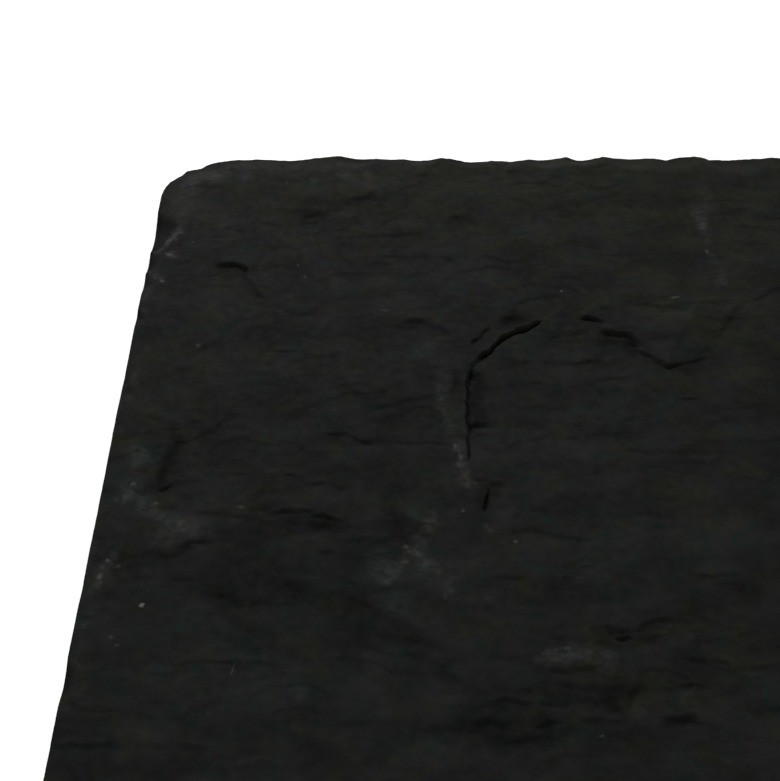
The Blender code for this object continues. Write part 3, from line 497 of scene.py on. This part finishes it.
def ease(t):
    """Goes smoothly from 0 to 1 as t does."""
    t = np.clip(t, 0.0, 1.0)
    return t * t * (3.0 - 2.0 * t)


def at_least(least, share):
    """Goes evenly from the least to 1 as the share goes from 0 to 1."""
    return least + (1.0 - least) * share


def hills(x, y, seed):
    """Smooth random hills and hollows about one unit across, from -1 to 1."""
    size = 256
    angles = np.random.default_rng(seed).uniform(0.0, 2.0 * np.pi, (size, size))
    column = np.floor(x).astype(int)
    row = np.floor(y).astype(int)
    across = x - column
    up = y - row

    def slope(right, above):
        """The hill that belongs to one corner of the cell."""
        angle = angles[(column + right) % size, (row + above) % size]
        return np.cos(angle) * (across - right) + np.sin(angle) * (up - above)

    low = slope(0, 0) + (slope(1, 0) - slope(0, 0)) * ease(across)
    high = slope(0, 1) + (slope(1, 1) - slope(0, 1)) * ease(across)
    return HILL_GAIN * (low + (high - low) * ease(up))


def all_hills(x, y, listed):
    """The listed random hills, all added up."""
    return sum(height * hills(x / along, y / across, seed) for along, across, height, seed in listed)


def layered(level, riser):
    """Turns a slope into flat treads one unit high, joined by steep risers."""
    tread = np.floor(level)
    return tread + ease((level - tread - 0.5) / riser + 0.5)


def rounded(route):
    """A route with each of its corners cut off, so that it bends less abruptly."""
    points = np.array(route, float)
    near = points[:-1] * 0.75 + points[1:] * 0.25
    far = points[:-1] * 0.25 + points[1:] * 0.75
    middle = np.stack([near, far], axis=1).reshape(-1, 2)
    return np.vstack([points[:1], middle, points[-1:]])


def beside(x, y, points):
    """How far each place lies to the left of a route, and how far along it."""
    nearest = np.full(x.shape, np.inf)
    left = np.zeros(x.shape)
    along = np.zeros(x.shape)
    passed = 0.0
    for start, end in zip(points[:-1], points[1:]):
        run = end - start
        length = np.hypot(*run)
        run = run / length
        ahead = (x - start[0]) * run[0] + (y - start[1]) * run[1]
        aside = (y - start[1]) * run[0] - (x - start[0]) * run[1]
        held = np.clip(ahead, 0.0, length)
        away = np.hypot(ahead - held, aside)
        better = away < nearest
        nearest = np.where(better, away, nearest)
        left = np.where(better, np.copysign(away, aside), left)
        along = np.where(better, passed + held, along)
        passed += length
    return left, along, passed


def ledge(x, y, route, rise, riser, reach, groove):
    """The step along one route, which fades away from it and at its ends."""
    points = rounded(route)
    height = np.zeros(x.shape)
    margin = LEDGE_MARGIN * reach
    low = points.min(axis=0) - margin
    high = points.max(axis=0) + margin
    near = (x > low[0]) & (x < high[0]) & (y > low[1]) & (y < high[1])
    left, along, length = beside(x[near], y[near], points)
    taper = min(END_TAPER, TAPER_SHARE * length)
    strength = ease(along / taper) * ease((length - along) / taper)
    step = ease(left / riser + 0.5) - 0.5
    uneven = 1.0 + all_hills(along, left * 0.0, [GROOVE_UNEVEN])
    width = GROOVE_WIDTH * uneven * at_least(GROOVE_AT_ENDS, strength)
    cut = uneven * np.exp(-((left + 0.5 * riser) / width) ** 2)
    fade = np.exp(-np.abs(left) / reach)
    rise = rise * at_least(RISE_STEADY, uneven)
    height[near] = strength * (rise * step * fade - groove * cut)
    return height


def scars(x, y, length, width, depth, seed):
    """Short scars of lost flakes, with a step at the back of each and a ramp in front."""
    size = 128
    random = np.random.default_rng(seed)
    right, above, bow, turn, reach, share = random.uniform(-1.0, 1.0, (6, size, size))
    column = np.round(x / length).astype(int)
    row = np.round(y / width).astype(int)
    height = np.zeros(x.shape)
    for beside_it in (-1, 0, 1):
        for behind_it in (-1, 0, 1):
            cell = (column + beside_it) % size, (row + behind_it) % size
            along = x / length - column - beside_it - SCAR_SCATTER * right[cell]
            along = along / (SCAR_LENGTH + SCAR_LENGTH_VARIES * reach[cell])
            back = y / width - row - behind_it - SCAR_SCATTER * above[cell]
            back = back + SCAR_BOW * bow[cell] * along**2 + SCAR_TURN * turn[cell] * along
            ends = ease(SCAR_ENDS * (1.0 - along**2))
            lost = ease(0.5 - back / SCAR_RISER) * ease(1.0 + back)
            share_lost = np.maximum(SCAR_DEPTH + SCAR_DEPTH_VARIES * share[cell], 0.0)
            height = height - depth * share_lost * ends * lost
    return height


def mound(x, y, middle_x, middle_y, wide, deep, height):
    """A smooth rise, or a hollow where the height is under 0."""
    return height * np.exp(-(((x - middle_x) / wide) ** 2) - ((y - middle_y) / deep) ** 2)


def flakes_along(side, seed):
    """The flakes lost along the back, with side at 1, or the front, at -1."""
    random = np.random.default_rng(seed)
    flakes = []
    place = -HALF_LENGTH + 0.5 * FLAKE_SPACING
    while place < HALF_LENGTH:
        radius = random.uniform(*FLAKE_RADII)
        beyond = DRESSED_EDGE + random.uniform(*FLAKE_BEYOND) * radius
        flakes.append((place, side * beyond, radius, random.uniform(*FLAKE_DEPTHS)))
        place += FLAKE_SPACING * random.uniform(*FLAKE_GAPS)
    return flakes


def roughness(x, y):
    """How rough the split is at each place, from 0 to 1."""
    return ease(0.5 + all_hills(x, y, [ROUGH_PATCHES]) + mound(x, y, *ROUGH_SPOT))


def unbroken_height(x, y):
    """Height of the riven face over the underside, before any flake was lost."""
    jumps = RAGGED_STEP * layered(all_hills(x, y, [RAGGED_STEPS]), RAGGED_RISER)
    ragged_x = x + all_hills(x, y, RAGGED_X)
    ragged_y = y + all_hills(x, y, RAGGED_Y) + jumps
    wander_x = ragged_x + all_hills(x, y, WANDER_X)
    wander_y = ragged_y + all_hills(x, y, WANDER_Y)

    height = THICKNESS + all_hills(x, y, SWELLS)
    for shape in MOUNDS:
        height = height + mound(x, y, *shape)

    slope = all_hills(wander_x, wander_y, LAYER_SLOPE)
    split = ease(SPLIT_MOSTLY + all_hills(x, y, [SPLIT_CLEAN]))
    height = height + LAYER * (split * layered(slope, LAYER_RISER) + (1.0 - split) * slope)

    rough = roughness(x, y)
    height = height + rough * scars(wander_x, wander_y, *LARGE_SCARS)
    middle_scars = scars(wander_x, wander_y, *MIDDLE_SCARS)
    height = height + at_least(SCARS_WHERE_CLEAN, rough) * middle_scars

    for route, rise, riser, reach, groove in LEDGES:
        height = height + ledge(ragged_x, ragged_y, route, rise, riser, reach, groove)
    return height


def riven_height(x, y):
    """Height of the riven face over the underside."""
    height = unbroken_height(x, y)
    wander_x = x + all_hills(x, y, FLAKE_WANDER_X)
    wander_y = y + all_hills(x, y, FLAKE_WANDER_Y)
    flakes = LOST_FLAKES + flakes_along(1, BACK_SEED) + flakes_along(-1, FRONT_SEED)
    for place_x, place_y, radius, depth in flakes:
        away = np.hypot(wander_x - place_x, wander_y - place_y) / radius
        floor = FLAKE_TOP - depth * (1.0 - away**FLAKE_CURVE)
        height = np.where(away < FLAKE_END, np.minimum(height, floor), height)
    return height


def side_reach(places, side):
    """How far a dressed side reaches from the middle line at each place along it."""
    spots, reaches = zip(*side)
    bumps = all_hills(places, places * 0.0, SIDE_BUMPS)
    return np.minimum(np.interp(places, spots, reaches) + bumps, HALF_DEPTH)


def side_inset(x, y, depth):
    """How far a dressed side lies inside the outline at a depth below the riven face."""
    steps = layered(all_hills(x + y, depth, SIDE_LAYERS), SIDE_RISER)
    inset = np.maximum(SIDE_INSET + SIDE_LAYER * steps + SIDE_LEAN * depth, 0.0)
    from_sawn_end = HALF_LENGTH - np.abs(x)
    return inset * ease(depth / SIDE_ROUNDING) * ease(from_sawn_end / SIDE_BLEND)


def fine_relief(x, y):
    """The small scars between the larger ones, and the grain of the stone."""
    wander_x = x + all_hills(x, y, [FINE_WANDER_X])
    wander_y = y + all_hills(x, y, [FINE_WANDER_Y])
    small = scars(wander_x, wander_y, *SMALL_SCARS)
    tiny = scars(wander_x, wander_y, *TINY_SCARS)
    rough = at_least(FINE_WHERE_CLEAN, roughness(x, y))
    return rough * (small + tiny) + all_hills(x, y, [GRAIN])


def smoothed(values, passes):
    """Values on a grid, each evened out with its neighbours a number of times."""
    for _ in range(passes):
        for axis in (0, 1):
            values = 0.5 * values + 0.25 * (np.roll(values, 1, axis) + np.roll(values, -1, axis))
    return values


def side_relief(x, y, depth):
    """How far a dressed side lies inside the outline, with its thin layers."""
    from_sawn_end = HALF_LENGTH - np.abs(x)
    fine = all_hills(x + y, depth, FINE_SIDE)
    fine = fine * ease(depth / SIDE_ROUNDING) * ease(from_sawn_end / SIDE_BLEND)
    return np.maximum(side_inset(x, y, depth) + fine, 0.0)


def marked(x, y, marks):
    """Soft ellipses at the listed marks, as strong as they say."""
    total = np.zeros(x.shape)
    for middle_x, middle_y, wide, deep, turn, strength in marks:
        cosine = math.cos(math.radians(turn))
        sine = math.sin(math.radians(turn))
        across = ((x - middle_x) * cosine + (y - middle_y) * sine) / wide
        up = ((y - middle_y) * cosine - (x - middle_x) * sine) / deep
        inside = (MARK_OUTER - np.hypot(across, up)) / (MARK_OUTER - MARK_INNER)
        total += strength * ease(inside)
    return total


def ragged(x, y, size, reach, seed):
    """Places pushed about at random, so that what is drawn there gets ragged edges."""
    for _ in range(3):
        push_x = reach * hills(x / size, y / size, seed)
        push_y = reach * hills(x / size, y / size, seed + 1)
        x = x + push_x
        y = y + push_y
        size *= FINER_BENDS
        reach *= FINER_PUSH
        seed += 2
    return x, y


def tints_films_and_painted_light(x, y):
    """What colours the stone at each place, painted light and shade among it, by the name of its
    attribute.
    """
    broad = ragged(x, y, *BROAD_EDGES)
    near = ragged(x, y, *NEAR_EDGES)
    close = ragged(x, y, *CLOSE_EDGES)
    return {
        "olive": marked(*broad, OLIVE_MARKS),
        "teal": marked(*broad, TEAL_MARKS),
        "shade": marked(*near, TONES_AND_PAINTED_LIGHT),
        "film": marked(*close, GREEN_FILMS),
        "pale_film_and_highlight": marked(*close, PALE_FILMS_AND_HIGHLIGHTS),
    }


def once_around(grid):
    """What lies on the rim of a grid, in order around it."""
    return np.concatenate([grid[0, :-1], grid[:-1, -1], grid[-1, :0:-1], grid[:0:-1, 0]])


def riven_face():
    """The grid of the riven face.

    Each place has its x, y and z, how far it stands out from its surroundings, and
    how freshly the stone is broken there, painted pale along flake rims as fresh stone and painted
    highlight.
    """
    across, up = np.meshgrid(np.linspace(-1, 1, COLUMNS + 1), np.linspace(0, 1, ROWS + 1))
    x = across * HALF_LENGTH
    back = side_reach(x, BACK_SIDE)
    front = -side_reach(x, FRONT_SIDE)
    y = front + (back - front) * up
    z = riven_height(x, y)
    scar = ease((unbroken_height(x, y) - z) / FRESH_DEPTH)
    z = z + (1.0 - BREAK_CLEAN * scar) * fine_relief(x, y)
    stands_out = z - smoothed(z, RELIEF_PASSES)
    # the rims of lost flakes are painted pale: fresh stone, and a painted highlight on their lit edges
    fresh_break_and_highlight = 4.0 * scar * (1.0 - scar)
    return np.stack([x, y, z, stands_out, fresh_break_and_highlight], axis=-1)


def side_rings(rim):
    """The rings of the sides, from just below the rim down to the underside."""
    depth = np.linspace(1 / SIDE_ROWS, 1, SIDE_ROWS)[:, None] * rim[:, 2]
    sides = np.repeat(rim[None], SIDE_ROWS, axis=0)
    inset = side_relief(rim[:, 0], rim[:, 1], depth)
    sides[..., 1] -= np.sign(rim[:, 1]) * inset
    sides[..., 2] -= depth
    sides[..., 3] = smoothed(inset, SIDE_PASSES) - inset
    sides[..., 4] = 0.0
    return sides


def slab_points():
    """The places on the riven face and on the sides, and how many lie on the rim."""
    face = riven_face()
    rim = once_around(face)
    sides = side_rings(rim)
    return np.concatenate([face.reshape(-1, 5), sides.reshape(-1, 5)]), len(rim)


def slab_faces(rim_count):
    """The quads of the grid and of the sides, and the face of the underside."""
    number = np.arange((COLUMNS + 1) * (ROWS + 1)).reshape(ROWS + 1, COLUMNS + 1)
    grid = np.stack([number[:-1, :-1], number[:-1, 1:], number[1:, 1:], number[1:, :-1]], axis=-1)
    quads = [grid.reshape(-1, 4)]
    upper = once_around(number)
    first = number.size
    for row in range(SIDE_ROWS):
        lower = first + row * rim_count + np.arange(rim_count)
        quads.append(np.stack([np.roll(upper, -1), upper, lower, np.roll(lower, -1)], axis=-1))
        upper = lower
    return np.concatenate(quads), upper[::-1]


def add_attribute(mesh, name, values):
    """Gives each vertex of the mesh a value of that name."""
    layer = mesh.attributes.new(name, "FLOAT", "POINT")
    layer.data.foreach_set("value", values.astype(np.float32))


def mesh_from(points, quads, underside):
    """A mesh of the quads and of the underside's one large face."""
    mesh = bpy.data.meshes.new("slate slab")
    mesh.vertices.add(len(points))
    mesh.vertices.foreach_set("co", (points[:, :3] * MM).astype(np.float32).ravel())
    corners = np.concatenate([quads.ravel(), underside]).astype(np.int32)
    starts = np.append(np.arange(len(quads)) * 4, len(quads) * 4).astype(np.int32)
    mesh.loops.add(len(corners))
    mesh.loops.foreach_set("vertex_index", corners)
    mesh.polygons.add(len(starts))
    mesh.polygons.foreach_set("loop_start", starts)
    mesh.update(calc_edges=True)
    for name, column in (("stands_out", 3), ("fresh_break_and_highlight", 4)):
        add_attribute(mesh, name, points[:, column])
    return mesh


def thin_out(slab):
    """Leaves the slab fewer triangles, most of them where it bends."""
    full = slab.data
    full.calc_loop_triangles()
    fewer = slab.modifiers.new("fewer faces", "DECIMATE")
    fewer.ratio = TRIANGLES / len(full.loop_triangles)
    fewer.use_collapse_triangulate = True
    seen = slab.evaluated_get(bpy.context.evaluated_depsgraph_get())
    slim = bpy.data.meshes.new_from_object(seen)
    slab.modifiers.remove(fewer)
    slab.data = slim
    bpy.data.meshes.remove(full)


def flatten_underside(mesh):
    """Puts the underside on its plane, and returns the place of every vertex."""
    spots = np.empty(len(mesh.vertices) * 3, np.float32)
    mesh.vertices.foreach_get("co", spots)
    spots = spots.reshape(-1, 3)
    spots[:, 2] = np.where(spots[:, 2] < UNDERSIDE_WITHIN * MM, 0.0, spots[:, 2])
    mesh.vertices.foreach_set("co", spots.ravel())
    return spots


def make_slab():
    """The finely split slab, with what colours it at each vertex."""
    points, rim_count = slab_points()
    quads, underside = slab_faces(rim_count)
    slab = bpy.data.objects.new("slate_stone", mesh_from(points, quads, underside))
    bpy.context.scene.collection.objects.link(slab)
    thin_out(slab)
    spots = flatten_underside(slab.data)
    for name, values in tints_films_and_painted_light(spots[:, 0] / MM, spots[:, 1] / MM).items():
        add_attribute(slab.data, name, values)
    slab.data.shade_smooth()
    slab.data.set_sharp_from_angle(angle=math.radians(SHARP_ANGLE))
    return slab


def socket_called(identifier, sockets):
    """The socket with that identifier, since a Mix node's names repeat."""
    return next(socket for socket in sockets if socket.identifier == identifier)


class Nodes:
    """Short ways to add and link the nodes of a material."""

    def __init__(self, material):
        """Starts from the shader that the material has."""
        material.use_nodes = True
        self.tree = material.node_tree
        self.shader = self.tree.nodes["Principled BSDF"]

    def add(self, kind, *sources, **settings):
        """A node with outputs of other nodes, or values, in its first inputs."""
        node = self.tree.nodes.new("ShaderNode" + kind)
        for name, value in settings.items():
            setattr(node, name, value)
        for socket, source in zip(node.inputs, sources):
            self.feed(socket, source)
        return node

    def feed(self, socket, source):
        """Links a socket to an output, or gives it a value."""
        if isinstance(source, bpy.types.NodeSocket):
            self.tree.links.new(source, socket)
        else:
            socket.default_value = source

    def plus(self, first, second):
        """A sum."""
        return self.add("Math", first, second, operation="ADD").outputs[0]

    def times(self, first, second):
        """A product."""
        return self.add("Math", first, second, operation="MULTIPLY").outputs[0]

    def stretched(self, place, size, seed):
        """Places measured in steps of that size, and moved for each seed."""
        moved = [step * seed for step in SEED_STEP]
        scale = [1.0 / step for step in size]
        return self.add("Mapping", place, moved, (0, 0, 0), scale).outputs[0]

    def noise(self, place, size, detail, roughness, seed, output="Fac"):
        """Smooth noise from 0 to 1, or three such values where the output is Color."""
        node = self.add("TexNoise", self.stretched(place, size, seed))
        node.inputs["Scale"].default_value = 1.0
        node.inputs["Detail"].default_value = detail
        node.inputs["Roughness"].default_value = roughness
        return node.outputs[output]

    def eased(self, value, low, high, to_low=0.0, to_high=1.0):
        """Goes smoothly from one value to another while its input goes from low to high."""
        node = self.add("MapRange", value, low, high, to_low, to_high, interpolation_type="SMOOTHSTEP")
        return node.outputs[0]

    def mix(self, factor, first, second):
        """Two colours blended."""
        node = self.tree.nodes.new("ShaderNodeMix")
        node.data_type = "RGBA"
        for name, source in (("Factor_Float", factor), ("A_Color", first), ("B_Color", second)):
            self.feed(socket_called(name, node.inputs), source)
        return socket_called("Result_Color", node.outputs)

    def attribute(self, name):
        """The value of that name that each vertex has."""
        return self.add("Attribute", attribute_name=name).outputs["Fac"]

    def marks(self, place, marks):
        """Soft ellipses at the listed marks, as strong as they say."""
        total = 0.0
        for x, y, wide, deep, turn, strength in marks:
            turned = (0, 0, math.radians(turn))
            size = (wide, deep, VERY_DEEP)
            node = self.add("Mapping", place, (x, y, 0), turned, size, vector_type="TEXTURE")
            away = self.add("VectorMath", node.outputs[0], operation="LENGTH").outputs["Value"]
            mark = self.eased(away, MARK_OUTER, MARK_INNER, 0.0, strength)
            total = self.plus(mark, total)
        return total

    def torn(self, place, pattern, reach):
        """Places pushed about at random, so that what is drawn there gets ragged edges."""
        random = self.noise(place, *pattern, output="Color")
        centred = self.add("VectorMath", random, (0.5, 0.5, 0.5), operation="SUBTRACT").outputs[0]
        push = self.add("VectorMath", centred, (reach, reach, 0.0), operation="MULTIPLY").outputs[0]
        return self.add("VectorMath", place, push, operation="ADD").outputs[0]


def tinted_stone(nodes, place):
    """The stone's colour, with its olive, teal and purple tints."""
    olive_marks = nodes.times(nodes.attribute("olive"), TINT_STRENGTH)
    olive = nodes.plus(nodes.noise(place, *OLIVE_PATTERN), olive_marks)
    teal_marks = nodes.times(nodes.attribute("teal"), TINT_STRENGTH)
    teal = nodes.plus(nodes.noise(place, *TEAL_PATTERN), teal_marks)
    purple = nodes.noise(place, *PURPLE_PATTERN)
    colour = nodes.mix(nodes.eased(olive, *OLIVE_FROM), STONE, OLIVE_STONE)
    colour = nodes.mix(nodes.eased(teal, *TEAL_FROM), colour, TEAL_STONE)
    return nodes.mix(nodes.eased(purple, *PURPLE_FROM), colour, PURPLE_STONE)


def stone_tone(nodes, place, streaks, on_side):
    """How light the stone is at each place, with 1 for its usual tone, painted shade and highlight
    included.
    """
    patches = nodes.eased(nodes.noise(place, *PATCHES), *PATCH_TONES)
    # marks of painted shade and highlight, and of darker and lighter stone
    patches = nodes.plus(patches, nodes.times(nodes.attribute("shade"), TONE_AND_LIGHT_STRENGTH))
    mottling = nodes.eased(nodes.noise(place, *MOTTLING), *MOTTLING_TONES)
    tone = nodes.plus(patches, nodes.plus(nodes.eased(streaks, *STREAK_TONES), mottling))

    # the sides show their layers, and the sawn faces the marks of the saw
    bands = nodes.eased(nodes.noise(place, *SIDE_BANDS), *BAND_TONES)
    saw_marks = nodes.eased(nodes.noise(place, *SAW_MARKS), *SAW_TONES)
    tone = nodes.plus(tone, nodes.times(nodes.plus(bands, saw_marks), on_side))

    # crevices are darker with painted shade, and what stands out is painted lighter: partly rubbed,
    # partly a painted highlight
    out = nodes.attribute("stands_out")
    tone = nodes.times(tone, nodes.eased(out, *CREVICE_PAINTED_SHADE))
    return nodes.times(tone, nodes.eased(out, *RUBBED_AND_HIGHLIGHT_TONES))


def with_pale_marks(nodes, place, colour):
    """The stone's colour under its mineral films, bruises, chips and dust, and under painted
    highlights and glints.
    """
    broken = nodes.eased(nodes.noise(place, *BROKEN_FILM), *BROKEN_SHARE)
    colour = nodes.mix(nodes.times(nodes.attribute("film"), broken), colour, GREEN_FILM)
    # pale films and bruises, with painted highlights on lit ridges and arrises
    pale = nodes.times(nodes.attribute("pale_film_and_highlight"), broken)
    fresh = nodes.eased(nodes.noise(place, *FRESH_SPECKS), *FRESH_SHARE)
    # flake rims painted pale, as fresh stone and as a painted highlight
    pale = nodes.plus(pale, nodes.times(nodes.attribute("fresh_break_and_highlight"), fresh))
    colour = nodes.mix(pale, colour, PALE_STONE_AND_HIGHLIGHT)
    # chips of fresh stone, and painted glints on lit edges
    flecks = nodes.marks(nodes.torn(place, FLECK_EDGES, FLECK_REACH), FLECKS_AND_GLINTS)
    dust = nodes.eased(nodes.noise(place, *DUST), *DUST_SHARE)
    return nodes.mix(nodes.plus(flecks, dust), colour, PALE_FLECK_AND_GLINT)


def finest_grain(nodes, place):
    """The surface's direction, uneven with fibres and grit too fine for the mesh."""
    fibres = nodes.times(nodes.noise(place, *FIBRES), FIBRE_HEIGHT)
    grit = nodes.times(nodes.noise(place, *GRIT), GRIT_HEIGHT)
    bump = nodes.add("Bump")
    bump.inputs["Strength"].default_value = 1.0
    bump.inputs["Distance"].default_value = MM
    nodes.feed(bump.inputs["Height"], nodes.plus(fibres, grit))
    return bump.outputs["Normal"]


def slate_material():
    """Dark riven slate, with its tints, films and grain, and painted shade and highlights."""
    material = bpy.data.materials.new("riven slate")
    nodes = Nodes(material)
    metres = nodes.add("TexCoord").outputs["Object"]
    place = nodes.add("VectorMath", metres, (1 / MM,) * 3, operation="MULTIPLY").outputs[0]
    on_side = nodes.eased(nodes.add("SeparateXYZ", place).outputs["Z"], *SIDE_BELOW)
    streaks = nodes.noise(place, *STREAKS)

    colour = tinted_stone(nodes, place)
    colour = nodes.mix(nodes.times(on_side, SIDE_NEUTRAL), colour, STONE)
    lit = nodes.add("VectorMath", colour, operation="SCALE")
    nodes.feed(lit.inputs["Scale"], stone_tone(nodes, place, streaks, on_side))
    nodes.feed(nodes.shader.inputs["Base Color"], with_pale_marks(nodes, place, lit.outputs[0]))
    nodes.feed(nodes.shader.inputs["Roughness"], nodes.eased(streaks, *STREAK_ROUGHNESS))
    nodes.shader.inputs["Specular IOR Level"].default_value = GLOSS
    nodes.feed(nodes.shader.inputs["Normal"], finest_grain(nodes, place))
    return material


def grey(tone):
    """A grey colour."""
    return (tone, tone, tone, 1)


def make_floor():
    """A plain pale floor under the slab."""
    bpy.ops.mesh.primitive_plane_add(size=FLOOR_SIZE)
    floor = bpy.context.object
    floor.name = "floor"
    material = bpy.data.materials.new("pale floor")
    material.use_nodes = True
    shader = material.node_tree.nodes["Principled BSDF"]
    shader.inputs["Base Color"].default_value = grey(FLOOR_TONE)
    shader.inputs["Roughness"].default_value = FLOOR_ROUGHNESS
    shader.inputs["Specular IOR Level"].default_value = FLOOR_GLOSS
    floor.data.materials.append(material)


def make_world():
    """Even light from all around, brightest near the horizon."""
    world = bpy.data.worlds.new("studio")
    bpy.context.scene.world = world
    world.use_nodes = True
    nodes = world.node_tree.nodes
    links = world.node_tree.links
    place = nodes.new("ShaderNodeTexCoord")
    split = nodes.new("ShaderNodeSeparateXYZ")
    ramp = nodes.new("ShaderNodeValToRGB")
    links.new(place.outputs["Generated"], split.inputs[0])
    links.new(split.outputs["Z"], ramp.inputs[0])
    links.new(ramp.outputs[0], nodes["Background"].inputs["Color"])
    for element, (up, brightness) in zip(ramp.color_ramp.elements, (LOW_LIGHT, HIGH_LIGHT)):
        element.position = up
        element.color = grey(brightness)


def make_lights():
    """One wide, soft light from behind the slab."""
    sun = bpy.data.lights.new("key", "SUN")
    sun.energy = SUN_STRENGTH
    sun.angle = math.radians(SUN_WIDTH)
    holder = bpy.data.objects.new("key", sun)
    bpy.context.scene.collection.objects.link(holder)
    holder.rotation_euler = Vector(SUN_TOWARDS).to_track_quat("-Z", "Y").to_euler()


def make_camera():
    """The camera, level from side to side."""
    lens = bpy.data.cameras.new("camera")
    camera = bpy.data.objects.new("camera", lens)
    bpy.context.scene.collection.objects.link(camera)
    camera.location = (CAMERA_X * MM, CAMERA_Y * MM, (THICKNESS + CAMERA_HEIGHT) * MM)
    camera.rotation_euler = (math.radians(90 - CAMERA_PITCH), 0, 0)
    lens.sensor_width = SENSOR
    lens.lens = FOCAL_PIXELS * SENSOR / PICTURE_HEIGHT
    bpy.context.scene.camera = camera


bpy.context.scene.view_settings.view_transform = "Standard"
make_camera()
make_world()
make_lights()
make_floor()
slab = make_slab()
slab.data.materials.append(slate_material())
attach(slab, "root")
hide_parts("slab")
